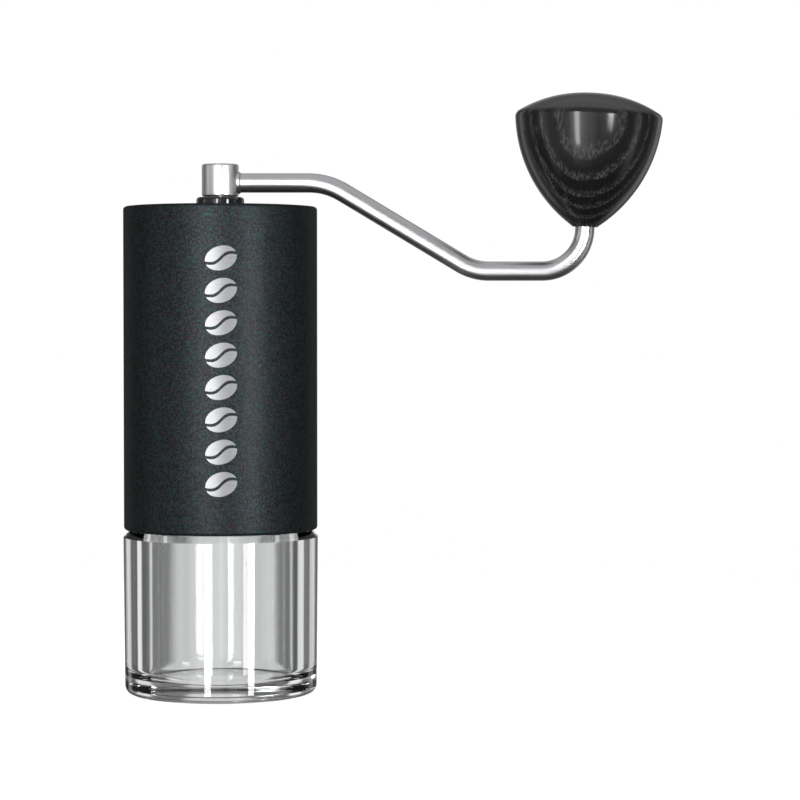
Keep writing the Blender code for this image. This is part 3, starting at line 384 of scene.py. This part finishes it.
def bean(height):
    """One flat bean that lies aslant across the tube, its seam along its length."""
    bpy.ops.object.select_all(action="DESELECT")
    bpy.ops.mesh.primitive_cylinder_add(vertices=BEAN_SIDES, radius=0.5, depth=1, end_fill_type="TRIFAN")
    oval = bpy.context.object
    oval.scale = (BEAN_LENGTH, BEAN_WIDTH, BEAN_FOIL)
    bpy.ops.object.transform_apply(scale=True)
    bpy.ops.object.select_all(action="DESELECT")
    bpy.ops.mesh.primitive_cube_add(size=1)
    seam = bpy.context.object
    seam.scale = (BEAN_LENGTH * 1.2, SEAM_WIDTH, BEAN_FOIL * 4)
    bpy.ops.object.transform_apply(scale=True)
    bpy.ops.object.mode_set(mode="EDIT")
    bpy.ops.mesh.subdivide(number_cuts=SEAM_CUTS)
    bpy.ops.object.mode_set(mode="OBJECT")
    for vertex in seam.data.vertices:
        vertex.co.y += SEAM_SWING * math.sin(2 * math.pi * vertex.co.x / BEAN_LENGTH)
    combine(oval, seam, "DIFFERENCE")
    bpy.ops.object.select_all(action="DESELECT")
    oval.select_set(True)
    bpy.ops.object.mode_set(mode="EDIT")
    bpy.ops.mesh.select_all(action="SELECT")
    bpy.ops.mesh.subdivide(number_cuts=BEAN_CUTS)
    bpy.ops.object.mode_set(mode="OBJECT")
    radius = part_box("body_tube")[1][0] + BEAN_FOIL / 2
    for vertex in oval.data.vertices:
        x, y, z = vertex.co
        across = x * math.cos(BEAN_TILT) - y * math.sin(BEAN_TILT)
        up = x * math.sin(BEAN_TILT) + y * math.cos(BEAN_TILT)
        reach, turn = radius + z, MARK_TURN + across / radius
        vertex.co = (reach * math.sin(turn), -reach * math.cos(turn), height + up)
    return oval


def silver_foil():
    shader = new_shader("silver_foil")
    grain = shader.noise(shader.place(scale=(1, 1, 20)), 260.0, 3.0)
    colour = shader.mix(grain, (0.17, 0.172, 0.178, 1), (0.27, 0.273, 0.28, 1))
    rough = 0.36 + grain * 0.10
    ripple = shader.bump(grain, 0.00002, 0.5)
    return shader.surface({"Base Color": colour, "Metallic": 1.0, "Roughness": rough, "Normal": ripple})


def bean_mark():
    beans = [bean(MARK_TOP - BEAN_PITCH * (i + 0.5)) for i in range(BEAN_COUNT)]
    bpy.ops.object.select_all(action="DESELECT")
    for one in beans:
        one.select_set(True)
    bpy.context.view_layer.objects.active = beans[0]
    bpy.ops.object.join()
    mark = bpy.context.object
    mark.name = "bean_mark"
    bpy.ops.object.mode_set(mode="EDIT")
    settle(mark)
    dress(mark, silver_foil())
    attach(mark, "housing")


bean_mark()


# ---------------------------------------------------------------- frame inside the tube
# Four black mouldings stacked in the tube: the jar's thread ring, the lower bridge that holds the ring burr,
# the hopper's liner, and the upper bridge under the lid. Two bridges carry a bearing each on three arms.

LINER_BORE = 0.0263
MERGE_DISTANCE, FLAT_DEG, EDGE_DEG = 0.000002, 0.5, 40


def moulded_black():
    """Glass-filled plastic with a fine spark-eroded grain and faint flow marks."""
    shader = new_shader("moulded_black")
    place = shader.place()
    grain = shader.noise(place, 2200.0, 2.0, 0.6)
    flow = shader.noise(shader.place(scale=(1, 1, 0.3)), 90.0, 3.0)
    colour = shader.mix(flow * 0.6 + grain * 0.4, (0.012, 0.012, 0.013, 1), (0.034, 0.034, 0.036, 1))
    rough = 0.42 + grain * 0.20
    skin = shader.bump(grain, 0.00006, 0.6)
    return shader.surface({"Base Color": colour, "Roughness": rough, "Normal": skin})


def refined(node, material, ease=0.0, smooth_deg=35):
    """A copy of a machined or moulded piece, its triangles merged, its edges eased and its curves smooth."""
    bpy.ops.object.select_all(action="DESELECT")
    piece = bpy.data.objects.new(node + "_finished", frame["nodes"][node].data.copy())
    bpy.context.scene.collection.objects.link(piece)
    piece.select_set(True)
    bpy.context.view_layer.objects.active = piece
    bpy.ops.object.mode_set(mode="EDIT")
    bpy.ops.mesh.select_all(action="SELECT")
    bpy.ops.mesh.remove_doubles(threshold=MERGE_DISTANCE)
    bpy.ops.mesh.dissolve_limited(angle_limit=math.radians(FLAT_DEG))
    bpy.ops.object.mode_set(mode="OBJECT")
    if ease:
        bevel = piece.modifiers.new("ease", "BEVEL")
        bevel.width, bevel.segments = ease, 2
        bevel.limit_method, bevel.angle_limit = "ANGLE", math.radians(EDGE_DEG)
        bpy.ops.object.modifier_apply(modifier=bevel.name)
    bpy.ops.object.shade_smooth_by_angle(angle=math.radians(smooth_deg))
    stands_for(piece, node, material)


def sleeve(node, bore, ease, material, sides=ROUND_SIDES):
    """A plain turned ring with eased edges, in the place of the node."""
    low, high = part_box(node)
    outer, bottom, top = high[0], low[2], high[2]
    rings = [(bore, bottom + ease), (bore, top - ease), (bore + ease, top), (outer - ease, top)]
    rings += [(outer, top - ease), (outer, bottom + ease), (outer - ease, bottom), (bore + ease, bottom)]
    stands_for(turned(node + "_turned", rings, closed=True, sides=sides), node, material)


MOULDED = moulded_black()
for moulding in ("thread_ring", "lower_bridge", "upper_bridge"):
    refined(moulding, MOULDED, ease=0.0002)
sleeve("hopper_liner", LINER_BORE, ease=0.0002, material=MOULDED)


# ---------------------------------------------------------------- burrs
# Hardened tool steel, its teeth milled and ground: a ring burr pressed up into the lower bridge by a
# three-lugged moulded ring, and a cone burr that turns inside it.


def ground_steel():
    """Grinding lines run round the burr, over milling marks that lean with the teeth."""
    shader = new_shader("ground_steel")
    lines = shader.noise(shader.place(scale=(60, 60, 2600)), 1.0, 3.0, 0.7)
    stain = shader.noise(shader.place(), 220.0, 4.0)
    colour = shader.mix(lines * 0.6 + stain * 0.4, (0.34, 0.34, 0.35, 1), (0.62, 0.62, 0.63, 1))
    rough = 0.22 + lines * 0.14
    return shader.surface({"Base Color": colour, "Metallic": 1.0, "Roughness": rough,
                           "Normal": shader.bump(lines, 0.00002, 0.6)})


GROUND = ground_steel()
refined("ring_burr", GROUND, smooth_deg=25)
refined("inner_burr", GROUND, smooth_deg=25)
refined("burr_retaining_ring", MOULDED, ease=0.00015)


# ---------------------------------------------------------------- bearings
# Two standard sealed ball bearings. Each has two ground steel races, a pressed cage with its balls, and a
# grey rubber seal on each side.

BEARING_BORE = 0.0036
RACE_WALL = 0.0018
SEAL_INSIDE = 0.0057
RACE_EASE, SEAL_EASE = 0.0002, 0.0001


def soft_rubber(name, dark, light):
    """Moulded rubber with a dusty, slightly uneven skin."""
    shader = new_shader(name)
    place = shader.place()
    dust = shader.noise(place, 500.0, 4.0, 0.65)
    colour = shader.mix(dust, grey(dark), grey(light))
    skin = shader.bump(dust, 0.00004, 0.5)
    return shader.surface({"Base Color": colour, "Roughness": 0.55 + dust * 0.2, "Normal": skin})


def race_steel():
    """Lapped steel: fine rings round the axle, and a mirror under them."""
    shader = new_shader("race_steel")
    lap = shader.noise(shader.place(scale=(1, 1, 12)), 900.0, 2.0)
    colour = shader.mix(lap, grey(0.58), grey(0.70))
    return shader.surface({"Base Color": colour, "Metallic": 1.0, "Roughness": 0.12 + lap * 0.10})


def drawn_wire():
    """Spring steel as it is drawn: faint lines, and a straw tint from its heat treatment."""
    shader = new_shader("drawn_wire")
    draw = shader.noise(shader.place(scale=(1, 1, 6)), 1400.0, 3.0)
    colour = shader.mix(draw, (0.40, 0.39, 0.37, 1), (0.60, 0.59, 0.57, 1))
    return shader.surface({"Base Color": colour, "Metallic": 1.0, "Roughness": 0.24 + draw * 0.14})


RACES, WIRE = race_steel(), drawn_wire()
SEALS = soft_rubber("seal_rubber", 0.10, 0.16)
for bearing in ("lower_bearing", "upper_bearing"):
    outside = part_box(bearing + "_outer_race")[1][0]
    sleeve(bearing + "_outer_race", outside - RACE_WALL, RACE_EASE, RACES, sides=96)
    sleeve(bearing + "_inner_race", BEARING_BORE, RACE_EASE, RACES, sides=72)
    sleeve(bearing + "_lower_seal", SEAL_INSIDE, SEAL_EASE, SEALS, sides=96)
    sleeve(bearing + "_upper_seal", SEAL_INSIDE, SEAL_EASE, SEALS, sides=96)
    dress(frame["nodes"][bearing + "_ball_cage"], WIRE)


# ---------------------------------------------------------------- axle
# One turned stainless bar. A circlip holds it in each bearing, a washer and a coil spring press the cone
# burr down, and its upper end is milled to the crank's hexagon.

WASHER_BORE = 0.0036


def satin_steel(name, along, blur):
    """Fine scratches that run along one axis, and the blur that the brushing leaves."""
    shader = new_shader(name)
    stretched = tuple(60.0 if axis == along else 1500.0 for axis in "XYZ")
    scratches = shader.noise(shader.place(scale=stretched), 1.0, 4.0, 0.7)
    smudge = shader.noise(shader.place(), 70.0, 3.0)
    colour = shader.mix(scratches, (0.50, 0.505, 0.52, 1), (0.64, 0.645, 0.66, 1))
    rough = blur + scratches * 0.10 + smudge * 0.08
    marks = shader.bump(scratches, 0.00001, 0.6)
    return shader.surface({"Base Color": colour, "Metallic": 1.0, "Roughness": rough, "Normal": marks})


SATIN_UPRIGHT = satin_steel("satin_upright", "Z", 0.28)
refined("axle", SATIN_UPRIGHT, ease=0.00012)
sleeve("spring_washer", WASHER_BORE, ease=0.0001, material=RACES, sides=72)
refined("lower_circlip", WIRE, ease=0.00008)
refined("upper_circlip", WIRE, ease=0.00008)
dress(frame["nodes"]["burr_spring"], WIRE)


# ---------------------------------------------------------------- grind adjustment
# A lobed black dial on a brass nut screws along the axle's thread. Two sprung balls in the dial click in the
# dimples of a steel plate that turns with the cone burr.

NUT_BORE = 0.0029


def turned_brass():
    """Bright brass with lathe lines and a little tarnish."""
    shader = new_shader("turned_brass")
    lathe = shader.noise(shader.place(scale=(1, 1, 14)), 700.0, 3.0)
    tarnish = shader.noise(shader.place(), 260.0, 4.0)
    bright = shader.mix(lathe, (0.66, 0.46, 0.18, 1), (0.82, 0.62, 0.28, 1))
    colour = shader.mix(shader.band(tarnish, 0.55, 0.8), bright, (0.40, 0.27, 0.11, 1))
    return shader.surface({"Base Color": colour, "Metallic": 1.0, "Roughness": 0.22 + tarnish * 0.16})


BRASS = turned_brass()
refined("adjusting_dial", MOULDED, ease=0.0003)
sleeve("dial_nut", NUT_BORE, ease=0.0002, material=BRASS, sides=72)
refined("click_plate", GROUND, ease=0.0001)
for detent in ("detent_ball_1", "detent_ball_2", "detent_spring_1", "detent_spring_2"):
    dress(frame["nodes"][detent], WIRE)


# ---------------------------------------------------------------- grounds jar
# Moulded in thick clear plastic and polished. Its shoulder is chamfered where it meets the tube, and its neck
# carries a two-start thread. A silicone gasket lies on the neck.

JAR_BORE = 0.0225
JAR_FLOOR, JAR_FLOOR_FILLET = 0.0050, 0.0035
JAR_SHOULDER = 0.0019
JAR_NECK_HEIGHT = 0.0105
JAR_NECK_RADIUS = 0.0255
JAR_FOOT_FILLET = 0.0026
JAR_DRAFT = 0.0004
THREAD_RIDGE = 0.0008
THREAD_LEAD, THREAD_TURNS, THREAD_STARTS = 0.0080, 0.72, 2
THREAD_RUN_IN = 0.0022
THREAD_SIDES, THREAD_STEPS = 12, 72
THREAD_FADE, THREAD_TIP = 0.35, 0.35  # the fade's reach in radians, and the share left at the tips
GASKET_BORE = 0.0228


def clear_plastic():
    """Clear all through, with very shallow waves left by the mould."""
    shader = new_shader("clear_plastic")
    waves = shader.noise(shader.place(scale=(1, 1, 0.25)), 170.0, 2.0)
    values = {"Base Color": (0.97, 0.98, 0.985, 1), "Roughness": 0.0, "Transmission Weight": 1.0}
    values |= {"IOR": 1.50, "Normal": shader.bump(waves, 0.00002, 0.5)}
    return shader.surface(values)


def thread_ridge(start, foot):
    """A round ridge that climbs the neck, fading in and out at its two ends."""
    bpy.ops.object.select_all(action="DESELECT")
    bpy.ops.mesh.primitive_circle_add(
        vertices=THREAD_SIDES,
        radius=THREAD_RIDGE,
        location=(JAR_NECK_RADIUS, 0, 0),
        rotation=(math.pi / 2, 0, 0),
    )
    ridge = bpy.context.object
    bpy.ops.object.transform_apply()
    climb = ridge.modifiers.new("climb", "SCREW")
    climb.angle, climb.screw_offset = math.tau * THREAD_TURNS, THREAD_LEAD * THREAD_TURNS
    climb.steps = climb.render_steps = THREAD_STEPS
    bpy.ops.object.modifier_apply(modifier=climb.name)
    for vertex in ridge.data.vertices:
        turn = math.atan2(vertex.co.y, vertex.co.x) % math.tau
        share = min(turn, math.tau * THREAD_TURNS - turn) / THREAD_FADE
        climbing = turn < math.tau * (THREAD_TURNS + 0.1)  # past this, a vertex is just behind the start
        fade = max(THREAD_TIP, min(1.0, share)) if climbing else THREAD_TIP
        middle = Vector((JAR_NECK_RADIUS * math.cos(turn), JAR_NECK_RADIUS * math.sin(turn), 0))
        middle.z = THREAD_LEAD * turn / math.tau if climbing else 0.0
        vertex.co = middle + (vertex.co - middle) * fade
        spin = turn + math.tau * start / THREAD_STARTS
        reach = math.hypot(vertex.co.x, vertex.co.y)
        vertex.co = (reach * math.cos(spin), reach * math.sin(spin), vertex.co.z + foot)
    bpy.ops.object.mode_set(mode="EDIT")
    close_ends(bridge=False)
    settle(ridge)
    return ridge


def jar():
    low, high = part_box("jar")
    shoulder_radius = high[0]
    shoulder = high[2] - JAR_NECK_HEIGHT
    foot_radius = shoulder_radius - JAR_DRAFT
    ease, pole = 0.0004, 0.0005
    rings = [(pole, low[2])]
    rings += arc(foot_radius - JAR_FOOT_FILLET, low[2] + JAR_FOOT_FILLET, JAR_FOOT_FILLET, -90, 0, 10)
    rings += [(shoulder_radius, shoulder - JAR_SHOULDER), (shoulder_radius - JAR_SHOULDER, shoulder)]
    rings += [(JAR_NECK_RADIUS + ease, shoulder), (JAR_NECK_RADIUS, shoulder + ease)]
    rings += [(JAR_NECK_RADIUS, high[2] - ease), (JAR_NECK_RADIUS - ease, high[2])]
    rings += [(JAR_BORE + ease, high[2]), (JAR_BORE, high[2] - ease)]
    fillet_height = low[2] + JAR_FLOOR + JAR_FLOOR_FILLET
    rings += arc(JAR_BORE - JAR_FLOOR_FILLET, fillet_height, JAR_FLOOR_FILLET, 0, -90, 10)
    rings += [(pole, low[2] + JAR_FLOOR)]
    piece = turned("clear_jar", rings, closed=False)
    for start in range(THREAD_STARTS):
        combine(piece, thread_ridge(start, shoulder + THREAD_RUN_IN), "UNION")
    bpy.ops.object.select_all(action="DESELECT")
    piece.select_set(True)
    bpy.ops.object.shade_smooth_by_angle(angle=math.radians(30))
    stands_for(piece, "jar", clear_plastic())


SILICONE = soft_rubber("grey_silicone", 0.24, 0.34)
jar()
sleeve("jar_gasket", GASKET_BORE, ease=0.0003, material=SILICONE)


# ---------------------------------------------------------------- lid
# A shallow lid moulded in glossy black plastic, with a silicone ring in its skirt. Only its collar, a thick
# bead round the axle, stands above the tube's rim.

COLLAR_RADIUS, COLLAR_BEAD = 0.0074, 0.0010
LID_RISE, LID_THICKNESS, LID_RECESS = 0.0008, 0.0020, 0.0005
LID_BORE, LID_SKIRT_WALL, LID_HUB_RISE = 0.0040, 0.0032, 0.0017
LID_CHAMFER = 0.0006
SEAL_RADIUS, SEAL_CLEARANCE = 0.0008, 0.0001


def gloss_black():
    shader = new_shader("gloss_black")
    place = shader.place()
    haze = shader.noise(place, 60.0, 4.0)
    colour = shader.mix(haze, (0.008, 0.008, 0.009, 1), (0.014, 0.014, 0.015, 1))
    ripple = shader.bump(shader.noise(place, 160.0, 2.0), 0.00003, 0.4)
    return shader.surface({"Base Color": colour, "Roughness": 0.06 + haze * 0.08, "Normal": ripple})


def lid():
    low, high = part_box("lid")
    rim, hub_bottom = high[0], low[2] + LID_HUB_RISE
    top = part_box("body_tube")[1][2] - LID_RECESS
    seal_low, seal_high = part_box("lid_seal")
    seal_middle = (seal_low[2] + seal_high[2]) / 2
    half_groove = SEAL_RADIUS + SEAL_CLEARANCE
    groove = rim - 2 * SEAL_RADIUS - SEAL_CLEARANCE
    ease = 0.0003
    rings = [(LID_BORE, hub_bottom), (LID_BORE, high[2] - ease), (LID_BORE + ease, high[2])]
    rings += arc(COLLAR_RADIUS - COLLAR_BEAD, high[2] - COLLAR_BEAD, COLLAR_BEAD, 90, 0, 8)
    rings += [(COLLAR_RADIUS, top + LID_RISE + ease), (COLLAR_RADIUS + ease, top + LID_RISE)]
    rings += [(rim - LID_CHAMFER, top), (rim, top - LID_CHAMFER)]
    rings += [(rim, seal_middle + half_groove), (groove, seal_middle + half_groove)]
    rings += [(groove, seal_middle - half_groove), (rim, seal_middle - half_groove), (rim, low[2] + ease)]
    skirt = rim - LID_SKIRT_WALL
    rings += [(rim - ease, low[2]), (skirt, low[2]), (skirt, top - LID_THICKNESS)]
    rings += [(COLLAR_RADIUS, top - LID_THICKNESS + LID_RISE), (COLLAR_RADIUS, hub_bottom)]
    stands_for(turned("lid_cover", rings, closed=True), "lid", gloss_black())
    seal_rings = arc(rim - SEAL_RADIUS, seal_middle, SEAL_RADIUS, 0, -345, 23)
    stands_for(turned("lid_seal_ring", seal_rings, closed=True, smooth_deg=60), "lid_seal", SILICONE)


lid()


# ---------------------------------------------------------------- crank
# A turned stainless boss with a blind hexagon socket, and a bent stainless rod welded to its side. Both are
# brushed to a satin finish.

BOSS_EDGE, BOSS_FOOT = 0.0007, 0.0003
SOCKET_FLATS, SOCKET_DEPTH, SOCKET_BELOW = 0.0062, 0.0084, 0.0010
ROD_RADIUS = 0.0030
ROD_IN_BOSS = 0.0006
WELD_RADIUS, WELD_LENGTH = 0.0034, 0.0007
ARM_ABOVE_FOOT = 0.0041
ARM_DROP, ARM_LOWER_RUN = 0.0273, 0.0344
ARM_SLOPE = math.radians(31.0)
UPPER_BEND, LOWER_BEND, PIN_BEND = 0.0210, 0.0168, 0.0133
BEND_STEPS, PIN_BEND_STEPS = 14, 28
CRANK_THROW = 0.1130
PIN_LEAN = math.radians(2.0)
PIN_RADIUS = 0.0021
PIN_START, PIN_LENGTH = 0.0030, 0.0235
KNOB_ABOVE_BEND = 0.0009
KNOB_AXIS = Vector((math.sin(PIN_LEAN), 0, math.cos(PIN_LEAN)))


def boss():
    low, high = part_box("crank_boss")
    radius, pole = high[0], 0.0004
    rings = [(pole, high[2])]
    rings += arc(radius - BOSS_EDGE, high[2] - BOSS_EDGE, BOSS_EDGE, 90, 0, 6)
    rings += [(radius, low[2] + BOSS_FOOT), (radius - BOSS_FOOT, low[2]), (pole, low[2])]
    piece = turned("crank_boss_turned", rings, closed=False, sides=96)
    bpy.ops.object.select_all(action="DESELECT")
    corner = SOCKET_FLATS / 2 / math.cos(math.pi / 6)
    middle = low[2] + (SOCKET_DEPTH - SOCKET_BELOW) / 2
    bpy.ops.mesh.primitive_cylinder_add(
        vertices=6, radius=corner, depth=SOCKET_DEPTH + SOCKET_BELOW, location=(0, 0, middle)
    )
    combine(piece, bpy.context.object, "DIFFERENCE")
    stands_for(piece, "crank_boss", SATIN_UPRIGHT)


def run_on(step):
    bpy.ops.mesh.extrude_region_move(TRANSFORM_OT_translate={"value": tuple(step)})


def bend_on(centre, angle, steps):
    """Swings the open end round a centre, down for a positive angle. With no window, spin turns backwards."""
    bpy.ops.mesh.spin(steps=steps, angle=-angle, center=tuple(centre), axis=(0, 1, 0))


def step_to(radius_share, place):
    """Starts a new ring at the open end, and draws it in or out round its middle."""
    bpy.ops.mesh.extrude_region_move(TRANSFORM_OT_translate={"value": (0, 0, 0)})
    bpy.ops.transform.resize(value=(radius_share,) * 3, center_override=tuple(place))


def pin_bend(lower):
    """The centre of the bend that turns up to the pin, and the place where that bend ends."""
    centre = Vector((CRANK_THROW - PIN_BEND, 0, lower + PIN_BEND))
    return centre, centre + PIN_BEND * Vector((math.cos(PIN_LEAN), 0, -math.sin(PIN_LEAN)))


def arm():
    boss_low, boss_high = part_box("crank_boss")
    upper = boss_low[2] + ARM_ABOVE_FOOT
    lower = upper - ARM_DROP
    half_slope = math.tan(ARM_SLOPE / 2)
    across, down = Vector((1, 0, 0)), Vector((math.cos(ARM_SLOPE), 0, -math.sin(ARM_SLOPE)))
    start = Vector((boss_high[0] - ROD_IN_BOSS, 0, upper))
    first = Vector((CRANK_THROW - ARM_LOWER_RUN - ARM_DROP / math.tan(ARM_SLOPE), 0, upper))
    second = first + down * (ARM_DROP / math.sin(ARM_SLOPE))
    pin_centre, bend_end = pin_bend(lower)
    bpy.ops.object.select_all(action="DESELECT")
    bpy.ops.mesh.primitive_circle_add(
        vertices=48, radius=WELD_RADIUS, location=start, rotation=(0, math.pi / 2, 0)
    )
    rod = bpy.context.object
    rod.name = "crank_rod"
    bpy.ops.object.transform_apply()
    bpy.ops.object.mode_set(mode="EDIT")
    bpy.ops.mesh.select_all(action="SELECT")
    run_on(across * (ROD_IN_BOSS + WELD_LENGTH / 2))
    run_on(across * WELD_LENGTH / 2)
    weld_end = start + across * (ROD_IN_BOSS + WELD_LENGTH)
    share = ROD_RADIUS / WELD_RADIUS
    bpy.ops.transform.resize(value=(share,) * 3, center_override=tuple(weld_end))
    run_on(first - across * UPPER_BEND * half_slope - weld_end)
    bend_on(first - across * UPPER_BEND * half_slope - Vector((0, 0, UPPER_BEND)), ARM_SLOPE, BEND_STEPS)
    run_on(second - down * LOWER_BEND * half_slope - first - down * UPPER_BEND * half_slope)
    bend_on(second + across * LOWER_BEND * half_slope + Vector((0, 0, LOWER_BEND)), -ARM_SLOPE, BEND_STEPS)
    run_on(Vector((pin_centre.x, 0, lower)) - second - across * LOWER_BEND * half_slope)
    bend_on(pin_centre, PIN_LEAN - math.pi / 2, PIN_BEND_STEPS)
    run_on(KNOB_AXIS * (KNOB_ABOVE_BEND + PIN_START))
    step_to(PIN_RADIUS / ROD_RADIUS, bend_end + KNOB_AXIS * (KNOB_ABOVE_BEND + PIN_START))
    run_on(KNOB_AXIS * PIN_LENGTH)
    close_ends(bridge=False)
    settle(rod)
    stands_for(rod, "crank_arm", satin_steel("satin_rod", "X", 0.22))


boss()
arm()


# ---------------------------------------------------------------- knob
# Turned from one block of oak, stained black and sealed with a semi-gloss lacquer. The growth layers lie
# flat to the front, so the side shows them as nested bows and the dome as long streaks. It turns on a brass
# bushing, and snaps on to the pin with an open wire ring.

KNOB_RADIUS, KNOB_HEIGHT = 0.0228, 0.0413
KNOB_EDGE_HEIGHT, KNOB_EDGE_FILLET = 0.0335, 0.0022
KNOB_DOME, KNOB_SIDE = 0.0380, 0.0440
KNOB_DOME_EDGE_DEG = 60
KNOB_MOUTH, KNOB_END = 0.0035, 0.0039
KNOB_BORE, KNOB_BORE_DEPTH = 0.0033, 0.0275
LAYER_PITCH, LAYER_SHIFT, LAYER_WANDER = 0.0033, 40.89, 0.0026
LAYER_TURN = math.radians(3)


def bulged(start, end, radius, steps):
    """An arc that bulges away from the axle, given by its two ends and its radius."""
    a, b = Vector(start), Vector(end)
    chord = b - a
    out = Vector((-chord.y, chord.x)).normalized()
    centre = (a + b) / 2 - out * math.sqrt(radius**2 - (chord.length / 2) ** 2)
    first, last = math.atan2(a.y - centre.y, a.x - centre.x), math.atan2(b.y - centre.y, b.x - centre.x)
    angles = [first + (last - first) * i / steps for i in range(steps + 1)]
    return [(centre.x + radius * math.cos(t), centre.y + radius * math.sin(t)) for t in angles]


def stained_oak(foot):
    """Dense late wood takes the stain nearly black. The porous early wood stays a little lighter."""
    shader = new_shader("stained_oak")
    place = shader.place(shift=(-foot.x, -foot.y, -foot.z))
    turn = shader.add("ShaderNodeMapping", {}, {"Vector": place, "Rotation": (0, 0, LAYER_TURN)})
    wander = shader.noise(turn, 60.0, 3.0, 0.6)
    depth = shader.add("ShaderNodeSeparateXYZ", {}, {0: turn}, "Y")
    layers = (depth + wander * LAYER_WANDER - LAYER_WANDER / 2) * (1 / LAYER_PITCH) + LAYER_SHIFT
    step = shader.add("ShaderNodeMath", {"operation": "FRACT"}, {0: layers})
    early = shader.band(step, 0.42, 0.80) * (1 - shader.band(step, 0.90, 1.0))
    grain = shader.add("ShaderNodeMapping", {}, {"Vector": turn, "Scale": (1, 1, 0.22)})
    fibres = shader.noise(grain, 1700.0, 2.0, 0.6)
    pores = shader.band(fibres, 0.46, 0.62)
    light = early * (0.15 + 0.85 * pores) + 0.08 * pores
    colour = shader.mix(light, (0.0045, 0.0042, 0.0045, 1), (0.037, 0.038, 0.042, 1))
    height = shader.bump(wander - pores * early * 0.6, 0.00008, 0.6)
    values = {"Base Color": colour, "Roughness": 0.36 + light * 0.30, "Normal": height}
    values |= {"Coat Weight": 0.45, "Coat Roughness": 0.13, "Specular IOR Level": 0.15}
    return shader.surface(values)


def knob():
    ease, pole = 0.0003, 0.0003
    edge = arc(KNOB_RADIUS - KNOB_EDGE_FILLET, KNOB_EDGE_HEIGHT, KNOB_EDGE_FILLET, KNOB_DOME_EDGE_DEG, 0, 10)
    rings = [(pole, KNOB_HEIGHT)] + bulged((0, KNOB_HEIGHT), edge[0], KNOB_DOME, 24)[1:]
    rings += edge[1:] + bulged(edge[-1], (KNOB_END + ease, ease), KNOB_SIDE, 40)[1:]
    rings += [(KNOB_END, 0), (KNOB_MOUTH, 0), (KNOB_MOUTH, PIN_START), (KNOB_BORE, PIN_START)]
    rings += [(KNOB_BORE, KNOB_BORE_DEPTH), (pole, KNOB_BORE_DEPTH)]
    piece = turned("oak_knob", rings, closed=False, smooth_deg=40)
    rod_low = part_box("crank_arm")[0][2]
    foot = pin_bend(rod_low + ROD_RADIUS)[1] + KNOB_ABOVE_BEND * KNOB_AXIS
    piece.rotation_euler = (0, PIN_LEAN, 0)
    piece.location = foot
    bpy.ops.object.select_all(action="DESELECT")
    piece.select_set(True)
    bpy.context.view_layer.objects.active = piece
    bpy.ops.object.transform_apply()
    stands_for(piece, "knob", stained_oak(foot))


knob()
refined("knob_bushing", BRASS, ease=0.0001)
dress(frame["nodes"]["knob_snap_ring"], WIRE)
